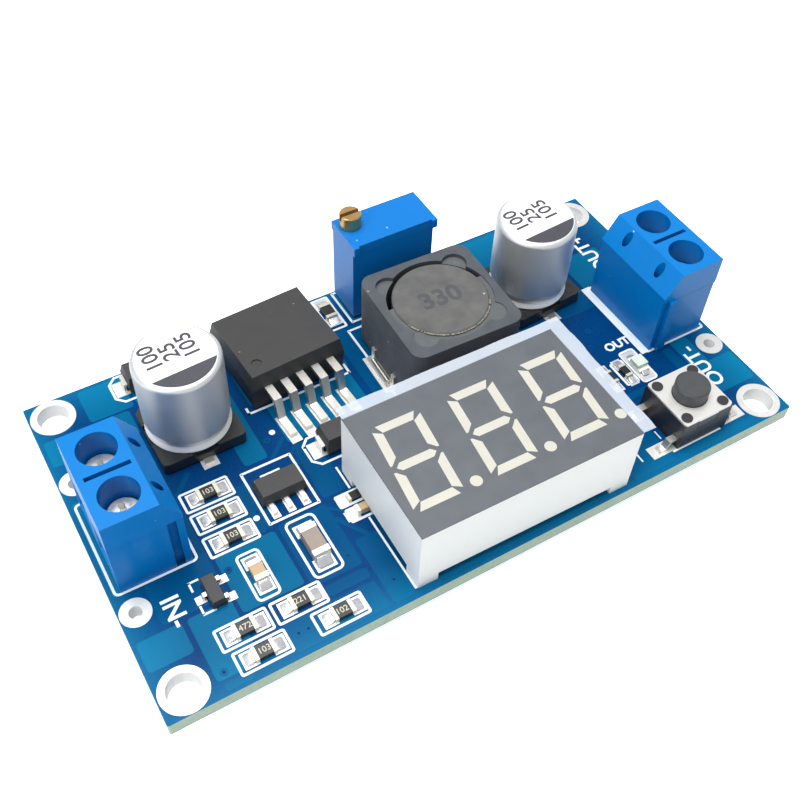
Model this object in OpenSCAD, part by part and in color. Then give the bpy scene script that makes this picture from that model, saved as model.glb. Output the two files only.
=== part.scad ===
// Adjustable step-down converter module with a three-digit voltmeter.
// Frame: +X to the output end, +Y to the trimmer edge, +Z up. The origin is under the centre of
// the board, in the plane of the clipped pin tips that the module stands on.

/* [Circuit board] */
// Length of the board, input end to output end
board_l = 66; // [60:0.5:80]
// Width of the board, front to back
board_w = 36; // [32.5:0.5:50]
// Thickness of the board
board_t = 1.6; // [0.8:0.1:2.4]
// Corner radius of the board
board_corner_r = 0.2; // [0.1:0.1:1.8]
// Diameter of the four mounting holes
mount_hole_d = 3.1; // [2.2:0.1:3.4]
// Mounting hole centre from the end of the board
mount_inset_x = 2.3; // [2.2:0.1:3]
// Mounting hole centre from the long edge of the board
mount_inset_y = 2.2; // [2.2:0.1:3]
// Width of the tinned ring round a mounting hole
mount_ring_w = 0.6; // [0.2:0.1:0.7]
// Diameter of the four holes for soldered wires
wire_hole_d = 1.3; // [0.8:0.1:1.6]
// Wire hole centre from the end of the board
wire_inset_x = 1.5; // [1.5:0.1:2.5]
// Distance between the two wire holes of an end
wire_pitch = 15; // [14:0.1:17]
// Width of the tinned ring round a wire hole
wire_ring_w = 0.75; // [0.3:0.05:0.9]
// Thickness of the tinned copper pads
pad_t = 0.05; // [0.03:0.01:0.1]
// How far clipped pins stand out under the board
pin_out = 1.6; // [1:0.1:3]

/* [Pins and solder] */
// Diameter of the terminal pins
heavy_pin_d = 1.0; // [0.8:0.1:1.3]
// Diameter of the display and trimmer pins
thin_pin_d = 0.5; // [0.4:0.05:0.7]
// Clearance round a pin in its drilled hole
pin_hole_gap = 0.15; // [0.05:0.05:0.3]
// Width of the solder ring round a heavy pin
heavy_solder_w = 0.7; // [0.4:0.1:0.9]
// Width of the solder ring round a thin pin
thin_solder_w = 0.5; // [0.3:0.1:0.8]
// Height of the solder cone on a pin
solder_h = 1.0; // [0.5:0.1:1.5]

/* [Screw terminals] */
// Distance between the two screws of a terminal
term_pitch = 5.08; // [4.8:0.02:5.4]
// Length of a terminal along the board's end
term_w = 10.2; // [10:0.1:12]
// Depth of a terminal, wire side to inner side
term_d = 6.6; // [6.3:0.1:8]
// Height of a terminal
term_h = 10; // [9:0.1:12]
// Depth of the flat top
term_top_d = 5.0; // [4.7:0.1:5.4]
// Height at which the sloping shoulder ends
term_shoulder_z = 7.4; // [7.1:0.1:8.5]
// Height of the moulding step on the end faces
term_step_z = 6.9; // [6:0.1:7.1]
// Depth of the moulding step
term_step = 0.12; // [0.05:0.01:0.2]
// Outer face of a terminal from the end of the board
term_edge = 1.1; // [0.5:0.1:1.5]
// Centre of a terminal in front of the board's middle
term_front = 0.2; // [-0.5:0.1:0.5]
// Screw axis from the wire side
term_screw_x = 2.6; // [2.4:0.1:3]
// Diameter of the well over a screw head
well_d = 3.5; // [3.4:0.1:4]
// Thickness of the wire side wall
term_wall = 0.6; // [0.4:0.1:0.9]
// Diameter of the small core holes in the shoulder
core_hole_d = 0.9; // [0.6:0.1:1.1]
// Length of the slot between the wells
term_slot_l = 4.0; // [3:0.1:4.4]
// Width of the slot between the wells
term_slot_w = 0.42; // [0.3:0.02:0.6]
// Neck width of the dovetail that links two terminals
dovetail_w = 0.7; // [0.5:0.05:0.9]
// How far the dovetail tongue stands out
dovetail_out = 0.5; // [0.3:0.05:0.7]
// Clearance of a dovetail tongue in a groove
dovetail_gap = 0.06; // [0.04:0.01:0.12]

/* [Clamps] */
// Length of a cage along the wire
cage_l = 4.2; // [3.6:0.1:4.4]
// Width of a cage
cage_w = 4.0; // [3.4:0.1:4.2]
// Height of a cage's underside over the board
cage_z = 0.9; // [0.6:0.1:1.2]
// Height of a cage
cage_h = 5.1; // [4.8:0.1:5.3]
// Thickness of a cage's walls
cage_wall = 0.8; // [0.5:0.1:0.9]
// Clearance round a cage in its pocket
cage_gap = 0.05; // [0.03:0.01:0.1]
// Diameter of a clamp screw
clamp_screw_d = 2.5; // [2:0.1:2.6]
// Radial clearance of a clamp screw in its cage
clamp_screw_gap = 0.05; // [0.02:0.01:0.1]
// Diameter of a clamp screw's head
clamp_head_d = 3.2; // [2.8:0.1:3.3]
// Height of a clamp screw's head
clamp_head_h = 1.2; // [0.8:0.1:1.5]
// How far a clamp screw backs out when it is opened
clamp_travel = 2.2; // [1:0.1:2.3]
// Thickness of the pressing leaf
leaf_t = 0.4; // [0.3:0.05:0.5]
// Gap under a closed leaf, and between a leaf and its screw
leaf_gap = 0.03; // [0.02:0.01:0.06]

/* [Electrolytic capacitors] */
// Diameter of a can
can_d = 8.2; // [6.3:0.1:8.2]
// Height of a can's top over the board
can_top = 10.4; // [7:0.1:12]
// Side of the square base
cap_base_w = 8.3; // [8.1:0.1:9]
// Thickness of the base plate
cap_base_t = 1.0; // [0.8:0.1:1.4]
// Height of the raised corners of the base
cap_corner_h = 1.2; // [1.1:0.05:1.5]
// Corner cut that marks the positive side of the base
cap_base_cut = 1.2; // [0.5:0.1:1.8]
// Depth of the rolled groove over a can's lip
can_groove = 0.4; // [0.2:0.05:0.6]
// Height of the rolled groove
can_groove_h = 1.5; // [1:0.1:2]
// Width of a capacitor's flat leads
cap_lead_w = 0.9; // [0.6:0.1:1.2]
// Share of the back row's free length between the input terminal and its capacitor
cap_in_share = 0.135; // [0.1:0.005:0.2]
// Share of the back row's free length between the output capacitor and its terminal
cap_out_share = 0.225; // [0.1:0.005:0.25]
// Share of the input capacitor's free depth in front of it
cap_in_front_share = 0.595; // [0.3:0.005:0.8]
// Centre of the output capacitor from the back edge
cap_out_back = 10; // [6:0.1:11]
// Skew of the output capacitor as it was soldered
cap_out_turn = 4; // [0:0.5:5]

/* [Inductor] */
// Side of the square shield
coil_w = 12; // [11:0.1:12.3]
// Corner radius of the shield
coil_corner_r = 1.3; // [0.5:0.1:2]
// Height of the shield's top over the board
coil_h = 7.7; // [6:0.1:9]
// Diameter of the drum core's top disc
drum_d = 9.5; // [9:0.1:9.9]
// How far the drum stands over the shield
drum_proud = 0.15; // [0:0.05:0.4]
// Diameter of the shield's round bore
coil_bore_d = 10.6; // [10.2:0.1:10.7]
// Radius of the four corner pockets
pocket_r = 1.25; // [0.5:0.05:1.3]
// Depth of the corner pockets
pocket_depth = 1.3; // [0.5:0.1:2]
// Share of the back row's free length between the regulator and the inductor
coil_share = 0.265; // [0.2:0.005:0.3]
// Share of the inductor's free depth behind it
coil_back_share = 0.405; // [0.3:0.005:0.6]
// Skew of the inductor as it was soldered
coil_turn = -1.5; // [-3:0.5:1]
// Width of the inductor's end clips
clip_w = 4.6; // [3:0.1:6]
// How far the clips show beside the shield
clip_out = 0.9; // [0.5:0.1:1.2]
// Height of the clips' turned-up lip over the board
clip_lip_h = 1.6; // [1:0.1:3]

/* [Regulator] */
// Width of the regulator's body
reg_w = 10.2; // [9.8:0.1:10.4]
// Depth of the regulator's body
reg_d = 9.0; // [8.5:0.1:9.2]
// Height of the regulator's body
reg_h = 4.4; // [4:0.1:4.8]
// Distance between the regulator's leads
reg_pitch = 1.7; // [1.6:0.01:1.75]
// Width of a regulator lead
reg_lead_w = 0.8; // [0.6:0.05:0.95]
// Thickness of a regulator lead
reg_lead_t = 0.45; // [0.35:0.05:0.5]
// Reach of the leads from the body
reg_lead_reach = 4.7; // [4:0.1:5]
// Share of the back row's free length between the input capacitor and the regulator
reg_share = 0.185; // [0.12:0.005:0.2]
// Share of the board's free depth behind the regulator's tab
reg_back_share = 0.087; // [0:0.001:0.15]
// Skew of the regulator as it was soldered
reg_turn = 3; // [0:0.5:3]

/* [Trimmer] */
// Width of the trimmer
trim_w = 9.53; // [9:0.05:10]
// Depth of the trimmer
trim_d = 4.83; // [4.6:0.05:5.2]
// Height of the trimmer's housing
trim_h = 10; // [8:0.1:12]
// Thickness of the wider top of the housing
trim_lid_t = 1.0; // [0.6:0.1:1.5]
// How far the top overhangs the body
trim_lip = 0.3; // [0.15:0.05:0.4]
// Diameter of the adjusting screw's head
trim_head_d = 2.2; // [1.8:0.1:2.4]
// Height of the adjusting screw's head
trim_head_h = 1.5; // [1:0.1:2]
// Diameter of the adjusting screw's neck
trim_neck_d = 1.6; // [1.2:0.1:1.7]
// Radial clearance of the neck in its bore
trim_neck_gap = 0.04; // [0.02:0.01:0.08]
// Adjusting screw's axis from the side and back of the trimmer
trim_screw_inset = 1.4; // [1.25:0.05:1.6]
// Centre of the trimmer from the board's middle
trim_x = 5.5; // [5:0.1:6.5]
// Distance between the trimmer's and the display's pins
pin_pitch = 2.54; // [2.5:0.01:2.6]

/* [Display] */
// Width of the display
disp_w = 22.5; // [22:0.1:23.5]
// Depth of the display
disp_d = 14; // [13.4:0.1:14.4]
// Height of the display over the board
disp_h = 8; // [7:0.1:9]
// Thickness of the printed face layer
face_t = 0.12; // [0.08:0.02:0.3]
// Thickness of the display's side walls
disp_wall = 0.8; // [0.5:0.1:1]
// Height of the relief under the walls between the feet
disp_relief = 1.0; // [0.8:0.1:1.4]
// Side of the square corner feet
disp_foot_w = 2; // [1.5:0.1:2.4]
// Height of a digit
digit_h = 9.4; // [8:0.1:10]
// Width of a digit
digit_w = 4.8; // [4:0.1:5]
// Width of a segment
seg_w = 0.85; // [0.6:0.05:1]
// Gap between segment ends
seg_gap = 0.45; // [0.35:0.05:0.6]
// Distance between digits
digit_pitch = 7.56; // [7.3:0.02:7.7]
// Slant of the digits
digit_slant = 5.5; // [0:0.5:8]
// Diameter of a decimal point
point_d = 1.1; // [0.8:0.1:1.2]
// Distance between the display's two pin rows
disp_row_gap = 10.16; // [9.9:0.02:11]
// Centre of the display from the board's middle
disp_x = 1.6; // [1.4:0.1:2]
// Share of the board's free depth in front of the display
disp_front_share = 0.15; // [0.05:0.01:0.2]
// Share of the board's free depth between the display and the diode behind it
diode_front_share = 0.46; // [0.3:0.01:0.6]
// Skew of the display as it was soldered
disp_turn = -0.7; // [-1.5:0.1:1.5]
// Thickness of the protective film
film_t = 0.08; // [0.05:0.01:0.15]
// How far the film hangs over the display's right side
film_over_x = 1.35; // [0.2:0.05:1.6]
// How far the film hangs over the display's back
film_over_y = 1.15; // [0.2:0.05:1.2]

/* [Push switch] */
// Side of the square switch
sw_w = 6; // [5.8:0.1:6.4]
// Height of the switch's cover over the board
sw_h = 3.5; // [3.2:0.1:4]
// Height of the plunger's top over the board
sw_top = 5; // [4.3:0.1:7]
// Diameter of the plunger
plunger_d = 3.4; // [3:0.1:3.5]
// Radial clearance of the plunger in the cover
plunger_gap = 0.06; // [0.04:0.01:0.1]
// Travel of the plunger
plunger_travel = 0.25; // [0.15:0.05:0.35]
// Thickness of the metal cover
cover_t = 0.2; // [0.15:0.05:0.3]
// Spacing of the riveted studs
stud_pitch = 4.4; // [4.3:0.1:4.6]
// Diameter of the riveted studs
stud_d = 1.1; // [0.8:0.1:1.2]
// Centre of the switch from the output end
sw_x = 10.4; // [10:0.1:10.5]
// Centre of the switch from the front edge
sw_y = 4.4; // [4.1:0.1:4.8]
// Reach of the legs from the body
sw_leg_reach = 2.0; // [1.5:0.1:2.1]

/* [Hidden] */
$fn = 48;

// Level of the board's top over the pin tips
board_top = pin_out + board_t;
// Level of the pin tips and of the board's underside, from the board's top
tip_z = -board_top;
under_z = -board_t;
// A cut runs past its face by this much
cut = 1;
// Edge bevel of small moulded parts
bevel = 0.15;

// Chip sizes: length, width, height, end cap length
chip_0805 = [2.0, 1.25, 0.5, 0.35];
chip_0603 = [1.6, 0.8, 0.45, 0.3];
cap_0805 = [2.0, 1.25, 0.9, 0.45];
cap_1206 = [3.2, 1.6, 1.3, 0.55];
cap_0603 = [1.6, 0.8, 0.8, 0.35];
// A chip's pad starts under its end and runs past it by this much
chip_pad_under = 0.3;
chip_pad_past = 1.0;
chip_pad_side = 0.15;

// Length of board between the parts of the back row
row_free = board_l - 2 * (term_edge + term_d) - 2 * cap_base_w - reg_w - coil_w - 2 * clip_out;
// Parts that stand one behind another: diode and regulator tab
dio_l = 4.3;
dio_w = 2.6;
dio_h = 2.2;
dio_span = 5.0;
reg_tab_out = 1.1;
cap_lead_past = 0.6;
// Depth of board between display, diode and regulator
depth_free = board_w - disp_d - dio_w - reg_lead_reach - reg_d - reg_tab_out;

// Back row, from the input end
cap_in_x = term_edge + term_d + cap_in_share * row_free + cap_base_w / 2;
reg_x = cap_in_x + cap_base_w / 2 + reg_share * row_free + reg_w / 2;
coil_x = reg_x + reg_w / 2 + coil_share * row_free + clip_out + coil_w / 2;
// Output capacitor, from the output end
cap_out_x = term_edge + term_d + cap_out_share * row_free + cap_base_w / 2;

// Terminals and display, from the front edge
term_y = board_w / 2 - term_front;
disp_y = disp_front_share * depth_free + disp_d / 2;
disp_left = board_l / 2 + disp_x - disp_w / 2;
disp_back = disp_y + disp_d / 2;
// Regulator and trimmer, from the back edge
reg_back = reg_back_share * depth_free + reg_tab_out + reg_d / 2;
trim_edge = 0.1;
trim_front = board_w - trim_edge - trim_d;
trim_left = board_l / 2 + trim_x - trim_w / 2;
// Inductor between display and trimmer
coil_y = trim_front - coil_back_share * (trim_front - disp_back - coil_w) - coil_w / 2;

// Place of the small parts, from the front left corner
small_reg_x = 17.5;
small_reg_y = 15.8;
transistor_x = 7.9;
transistor_y = 8.9;
out_diode_x = reg_x + 0.9;
out_diode_y = disp_back + diode_front_share * depth_free + dio_w / 2;
in_diode_x = 11.9;
in_diode_back = 2.0;
// Place of the output light, from the front right corner
led_x = 10.0;
led_y = 11.7;

// Row of three resistors beside the input terminal
row_x = 11.6;
row_last_y = 18.5;
row_last_back = row_last_y + chip_0805[1] / 2;
// Input capacitor between the last of them and the diode behind
cap_in_room = board_w - in_diode_back - dio_w / 2 - row_last_back - cap_base_w - 2 * cap_lead_past;
cap_in_y = row_last_back + cap_in_front_share * cap_in_room + cap_lead_past + cap_base_w / 2;
cap_out_y = board_w - cap_out_back;

// Column of small chips at the display's left side
beside_x = disp_left - 0.25;
// Resistor between the regulator and the trimmer
upright_x = trim_left - 1.93;
upright_back = 2.6;

// Chip resistors: size, place from the front left corner, turn
resistors = [
    [chip_0805, row_x, row_last_y, 0], [chip_0805, row_x, 15.9, 0], [chip_0805, row_x, 13.2, 0],
    [chip_0805, 8.8, 4.6, 0], [chip_0805, 14.0, 4.6, 0],
    [chip_0805, 9.3, 2.0, 0], [chip_0805, 16.6, 2.0, 0],
    [chip_0805, upright_x, board_w - upright_back, 90], [chip_0603, beside_x, 11.8, 0]
];
// Chip resistors beside the output light: size, place from the front right corner, turn
output_resistors = [[chip_0603, 11.75, 11.6, 90], [chip_0603, 13.6, 11.6, 90]];
// Chip capacitors: size, place from the front left corner, turn
ceramics = [
    [cap_0805, 12.0, 8.8, 90], [cap_1206, 17.5, 8.9, 90], [cap_0603, beside_x, 10.1, 0]
];

// ---------- helpers ----------

// Puts a part on the board's top, x and y measured from the front left corner
module on_board(x, y, turn = 0) {
    translate([x - board_l / 2, y - board_w / 2, board_top]) rotate(turn) children();
}

// Box given by its centre in x and y, its size and its lowest and highest level
module slab(x, y, l, w, z0, z1) {
    translate([x - l / 2, y - w / 2, z0]) cube([l, w, z1 - z0]);
}

// Box between two corners
module block(lo, hi) {
    translate(lo) cube(hi - lo);
}

// Flat plate with true round corners, centred
module rounded_plate(l, w, r, t) {
    linear_extrude(t) {
        square([l - 2 * r, w], center = true);
        square([l, w - 2 * r], center = true);
        for (x = [-1, 1], y = [-1, 1])
            translate([x * (l / 2 - r), y * (w / 2 - r)]) circle(r);
    }
}

// Prism of length l along Y from an outline in X and Z
module prism_y(points, l) {
    rotate([90, 0, 0]) linear_extrude(l, center = true) polygon(points);
}

// Prism of length l along X from an outline in Y and Z
module prism_x(points, l) {
    rotate([90, 0, 90]) linear_extrude(l, center = true) polygon(points);
}

// Flat ring
module ring(outer_d, inner_d, z0, z1) {
    difference() {
        translate([0, 0, z0]) cylinder(d = outer_d, h = z1 - z0);
        translate([0, 0, z0 - cut]) cylinder(d = inner_d, h = z1 - z0 + 2 * cut);
    }
}

// Moulded body with drafted sides, widest at the parting level
module drafted_body(l, w, z0, z_part, z1, draft) {
    intersection() {
        prism_y([[-l / 2 + draft / 2, z0], [-l / 2, z_part], [-l / 2 + draft, z1],
                 [l / 2 - draft, z1], [l / 2, z_part], [l / 2 - draft / 2, z0]], w + 1);
        prism_x([[-w / 2 + draft / 2, z0], [-w / 2, z_part], [-w / 2 + draft, z1],
                 [w / 2 - draft, z1], [w / 2, z_part], [w / 2 - draft / 2, z0]], l + 1);
    }
}

// Outline in Y and Z of a gull-wing lead that leaves a body at y = 0 and runs to y = -reach.
// The last points are the straight stub of length root inside the body.
function gull_outline(reach, foot, exit_z, t, slope, root) = [
    [root, exit_z], [-(reach - foot - slope), exit_z], [-(reach - foot), pad_t], [-reach, pad_t],
    [-reach, pad_t + t], [-(reach - foot) - t, pad_t + t],
    [-(reach - foot - slope) - t, exit_z + t], [root, exit_z + t]
];

module gull_lead(reach, foot, exit_z, t, slope, w, root = 0) {
    prism_x(gull_outline(reach, foot, exit_z, t, slope, root), w);
}

// ---------- circuit board ----------

function mount_holes() = [for (x = [mount_inset_x, board_l - mount_inset_x],
    y = [mount_inset_y, board_w - mount_inset_y]) [x, y]];
function wire_holes() = [for (x = [wire_inset_x, board_l - wire_inset_x],
    y = [-wire_pitch / 2, wire_pitch / 2]) [x, board_w / 2 + y]];

// Runs its children at each terminal pin
module at_heavy_pins() {
    at_input_terminal() at_poles() children();
    at_output_terminal() at_poles() children();
}

// Runs its children at each display and trimmer pin
module at_thin_pins() {
    at_display() at_display_pins() children();
    at_trimmer() at_trimmer_pins() children();
}

module circuit_board() {
    color("#1f6fae") difference() {
        on_board(board_l / 2, board_w / 2) translate([0, 0, under_z])
            rounded_plate(board_l, board_w, board_corner_r, board_t);
        for (p = mount_holes()) on_board(p[0], p[1]) board_hole(mount_hole_d);
        for (p = wire_holes()) on_board(p[0], p[1]) board_hole(wire_hole_d);
        at_heavy_pins() board_hole(heavy_pin_d + 2 * pin_hole_gap);
        at_thin_pins() board_hole(thin_pin_d + 2 * pin_hole_gap);
    }
}

module board_hole(d) {
    translate([0, 0, under_z - cut]) cylinder(d = d, h = board_t + 2 * cut);
}

// Ring pads on both faces of the board
module ring_pads(hole_d, ring_w) {
    ring(hole_d + 2 * ring_w, hole_d, 0, pad_t);
    ring(hole_d + 2 * ring_w, hole_d, under_z - pad_t, under_z);
}

// Two pads of a chip that lies along X
module chip_pads(s) {
    l = chip_pad_under + chip_pad_past;
    for (side = [-1, 1])
        slab(side * (s[0] / 2 - chip_pad_under + l / 2), 0, l, s[1] + 2 * chip_pad_side, 0, pad_t);
}

module tinned_pads() {
    color("#e4e4e0") {
        for (p = mount_holes()) on_board(p[0], p[1]) ring_pads(mount_hole_d, mount_ring_w);
        for (p = wire_holes()) on_board(p[0], p[1]) ring_pads(wire_hole_d, wire_ring_w);
        at_heavy_pins() ring_pads(heavy_pin_d + 2 * pin_hole_gap, heavy_solder_w - pin_hole_gap);
        at_thin_pins() ring_pads(thin_pin_d + 2 * pin_hole_gap, thin_solder_w - pin_hole_gap);
        at_chips() chip_pads($size);
        at_input_capacitor() capacitor_pads();
        at_output_capacitor() capacitor_pads();
        at_inductor() for (side = [-1, 1])
            slab(side * (coil_w / 2 - clip_under / 2 + clip_out / 2 + 0.15), 0,
                 clip_under + clip_out + 0.3, clip_w + 0.5, 0, pad_t);
        at_regulator() regulator_pads();
        at_diodes() for (side = [-1, 1])
            slab(side * (dio_span / 2 - 0.1), 0, 2.0, dio_lead_w + 0.5, 0, pad_t);
        at_switch() for (x = [-1, 1], y = [-1, 1])
            slab(x * (sw_w / 2 + sw_leg_reach / 2 + 0.35), y * sw_leg_y,
                 sw_leg_reach + 0.7, sw_leg_w + 0.7, 0, pad_t);
        at_small_regulator() small_regulator_pads();
        at_transistor() transistor_pads();
        at_led() chip_pads([led_l, led_w]);
        at_controller() controller_pads();
    }
}

// Solder cone under the board, on a pin
module solder_cone(pin_d, solder_w) {
    z0 = under_z - pad_t;
    rotate_extrude() polygon([[pin_d / 2, z0], [pin_d / 2 + solder_w, z0],
        [pin_d / 2 + solder_w * 0.35, z0 - solder_h * 0.45],
        [pin_d / 2 + 0.06, z0 - solder_h], [pin_d / 2, z0 - solder_h]]);
}

module solder_joints() {
    color("#c9cac8") {
        at_heavy_pins() solder_cone(heavy_pin_d, heavy_solder_w);
        at_thin_pins() solder_cone(thin_pin_d, thin_solder_w);
    }
}

// ---------- screw terminals ----------
// Own frame: wire side at x = 0, screws at y = -term_pitch / 2 and +term_pitch / 2

module at_input_terminal() on_board(term_edge, term_y) children();
module at_output_terminal() on_board(board_l - term_edge, term_y, 180) children();

module at_pole(side) translate([term_screw_x, side * term_pitch / 2, 0]) children();
module at_poles() for (side = [-1, 1]) at_pole(side) children();

// Cage, leaf and screw levels over the board
cage_top = cage_z + cage_h;
leaf_z = cage_z + cage_wall + leaf_gap;
screw_tip_z = leaf_z + leaf_t + leaf_gap;
head_z = cage_top + 0.1;
cage_hollow_w = clamp_screw_d + 0.2;
leaf_w = cage_hollow_w - 0.2;
wire_window_w = cage_w - 0.6;
wire_window_h = cage_h - cage_wall - 0.5;
dovetail_x = (term_top_d + term_d) / 2 - 0.25;

// Outline of a terminal from the side, above level z0
function terminal_outline(z0) = [[0, z0], [0, term_h], [term_top_d, term_h],
    [term_d, term_shoulder_z], [term_d, z0]];

// Outline of the dovetail in plan, wider at its outer end
function dovetail_outline(w, out) = [[-w / 2, -cut], [-w / 2, 0], [-w / 2 - 0.12, out],
    [w / 2 + 0.12, out], [w / 2, 0], [w / 2, -cut]];

module terminal_housing() {
    color("#1c74c9") difference() {
        union() {
            translate([0, 0, 0]) prism_y(terminal_outline(0), term_w - 2 * term_step);
            prism_y(terminal_outline(term_step_z), term_w);
            translate([dovetail_x, term_w / 2 - term_step, 0])
                linear_extrude(term_step_z) polygon(dovetail_outline(dovetail_w, dovetail_out));
        }
        at_poles() {
            // Pocket for the cage, open below
            block([term_wall - term_screw_x, -cage_w / 2 - cage_gap, -cut],
                  [term_wall - term_screw_x + cage_l + 2 * cage_gap, cage_w / 2 + cage_gap,
                   cage_top + cage_gap]);
            // Wire window with a funnel mouth
            wire_funnel();
            // Well over the screw head
            translate([0, 0, cage_top]) cylinder(d = well_d, h = term_h - cage_top + cut);
        }
        // Core holes in the sloping shoulder
        for (side = [-1, 1])
            translate([term_top_d + core_hole_d / 2 + 0.2, side * term_pitch / 2, cage_top - 2])
                cylinder(d = core_hole_d, h = term_h);
        // Slot between the wells
        block([term_screw_x - term_slot_l / 2, -term_slot_w / 2, term_h - 3],
              [term_screw_x + term_slot_l / 2, term_slot_w / 2, term_h + cut]);
        // Dovetail groove
        translate([dovetail_x, -term_w / 2 + term_step, -cut])
            linear_extrude(term_step_z + cut + dovetail_gap)
                polygon(dovetail_outline(dovetail_w + 2 * dovetail_gap, dovetail_out + dovetail_gap));
    }
}

// Wire window that widens towards its mouth, with the floor level with the cage's
module wire_funnel() {
    x0 = -term_screw_x;
    x1 = term_wall - term_screw_x;
    w = wire_window_w / 2;
    z0 = cage_z + cage_wall;
    z1 = z0 + wire_window_h;
    f = term_wall * 0.6;
    intersection() {
        prism_y([[x0 - cut, z0 - f - cut], [x1, z0], [x1 + cut / 2, z0], [x1 + cut / 2, z1], [x1, z1],
                 [x0 - cut, z1 + f + cut]], cage_w + 4 * cut);
        translate([0, 0, -cut]) linear_extrude(term_h)
            polygon([[x0 - cut, -w - f / 2 - cut / 2], [x1, -w], [x1 + cut / 2, -w], [x1 + cut / 2, w],
                     [x1, w], [x0 - cut, w + f / 2 + cut / 2]]);
    }
}

// Screw cages with their solder pins
module terminal_cages() {
    color("#d9d6c8") at_poles() {
        difference() {
            block([term_wall - term_screw_x + cage_gap, -cage_w / 2, cage_z],
                  [term_wall - term_screw_x + cage_gap + cage_l, cage_w / 2, cage_top]);
            block([-term_d, -cage_hollow_w / 2, cage_z + cage_wall],
                  [term_d, cage_hollow_w / 2, cage_top - cage_wall]);
            translate([0, 0, cage_top - cage_wall - cut])
                cylinder(d = clamp_screw_d + 2 * clamp_screw_gap, h = cage_wall + 2 * cut);
        }
        translate([0, 0, tip_z]) cylinder(d = heavy_pin_d, h = cage_z + 0.1 - tip_z);
    }
}

// Screw that presses the leaf down on the wire
module clamp_screw() {
    color("#cfcfca") difference() {
        union() {
            translate([0, 0, head_z]) cylinder(d = clamp_head_d, h = clamp_head_h - bevel);
            translate([0, 0, head_z + clamp_head_h - bevel])
                cylinder(d1 = clamp_head_d, d2 = clamp_head_d - 2 * bevel, h = bevel);
            translate([0, 0, screw_tip_z + 0.3])
                cylinder(d = clamp_screw_d, h = head_z - screw_tip_z);
            translate([0, 0, screw_tip_z])
                cylinder(d1 = clamp_screw_d - 0.6, d2 = clamp_screw_d, h = 0.3);
        }
        // Straight slot with a shorter cross slot
        slab(0, 0, clamp_head_d + cut, 0.55, head_z + clamp_head_h - 0.6, head_z + clamp_head_h + cut);
        slab(0, 0, 0.55, clamp_head_d * 0.6, head_z + clamp_head_h - 0.7, head_z + clamp_head_h + cut);
    }
}

// Pressing leaf under the screw, turned up at the wire side
module clamp_leaf() {
    x0 = term_wall - term_screw_x + cage_gap + 0.3;
    x1 = x0 + cage_l - 0.6;
    color("#b9b4a2")
        prism_y([[x0, leaf_z + 0.5], [x0 + 0.5, leaf_z], [x1, leaf_z], [x1, leaf_z + leaf_t],
                 [x0 + 0.5 + leaf_t * 0.4, leaf_z + leaf_t], [x0 + leaf_t * 0.7, leaf_z + 0.5 + leaf_t * 0.7]],
                leaf_w);
}

// ---------- electrolytic capacitors ----------
// Own frame: base centred, negative side towards -Y

module at_input_capacitor() on_board(cap_in_x, cap_in_y) children();
module at_output_capacitor() on_board(board_l - cap_out_x, cap_out_y, cap_out_turn) children();

cap_lead_t = 0.2;
cap_pad_w = 2.9;
cap_side_drop = 0.35;
cap_edge_cut = 0.45;
cap_foot_l = 3.0;
can_seat = pad_t + cap_lead_t + cap_base_t;

module capacitor_pads() {
    for (side = [-1, 1])
        slab(0, side * (cap_base_w / 2 + cap_lead_past - cap_foot_l / 2 + 0.2),
             cap_lead_w + 0.7, cap_foot_l + 0.5, 0, pad_t);
}

// Sealed can: flared lip over the base's corners, rolled groove and rounded top edge
can_lip_z = pad_t + cap_lead_t + cap_corner_h + 0.03;

module capacitor_can() {
    r = can_d / 2;
    round_r = 0.5;
    groove_z = can_lip_z + 0.15;
    // Share of the groove's depth at each share of its height
    groove = [[0.12, 0.2], [0.28, 0.58], [0.42, 0.88], [0.52, 1], [0.62, 0.95], [0.76, 0.62],
              [0.9, 0.18]];
    color("#d7dadd") rotate_extrude() polygon(concat(
        [[0, can_seat], [r - 0.6, can_seat], [r - 0.6, can_lip_z], [r - 0.08, can_lip_z],
         [r, can_lip_z + 0.07], [r, groove_z]],
        [for (g = groove) [r - can_groove * g[1], groove_z + can_groove_h * g[0]]],
        [[r, groove_z + can_groove_h]],
        [for (a = [0:15:90]) [r - round_r + round_r * cos(a), can_top - round_r + round_r * sin(a)]],
        [[0, can_top]]));
}

// Moulded base, its corners raised a little over the middle of its sides
module capacitor_base() {
    z0 = pad_t + cap_lead_t;
    side_gap = cap_base_w - 2 * cap_pad_w;
    low_z = can_seat - cap_side_drop;
    color("#26282b") difference() {
        linear_extrude_from(z0, z0 + cap_corner_h) cap_base_outline();
        // Seat of the can inside the corners
        translate([0, 0, can_seat]) cylinder(d = can_d - 0.9, h = cap_corner_h + cut);
        // Low middle of each side, outside the seat
        for (a = [0:90:270]) rotate(a)
            slab(can_d / 2 + 0.5, 0, 1.4, side_gap, low_z, can_top);
    }
}

module linear_extrude_from(z0, z1) {
    translate([0, 0, z0]) linear_extrude(z1 - z0) children();
}

module cap_base_outline() {
    w = cap_base_w / 2;
    c = cap_base_cut;
    e = cap_edge_cut;
    polygon([[-w + e, -w], [w - e, -w], [w - e * 0.3, -w + e * 0.3], [w, -w + e], [w, w - c],
             [w - c, w], [-w + c, w], [-w, w - c], [-w, -w + e], [-w + e * 0.3, -w + e * 0.3]]);
}

module capacitor_leads() {
    color("#d8d8d4") for (side = [-1, 1])
        slab(0, side * (cap_base_w / 2 + cap_lead_past - cap_foot_l / 2), cap_lead_w, cap_foot_l,
             pad_t, pad_t + cap_lead_t);
}

// ---------- inductor ----------

module at_inductor() on_board(coil_x, coil_y, coil_turn) children();

clip_t = 0.25;
clip_under = 3.0;
shield_z = pad_t + clip_t;
flange_t = 1.4;
drum_top = coil_h + drum_proud;
drum_post_d = 5;
wire_end_d = 0.5;
wire_end_inset = 0.7;

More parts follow.
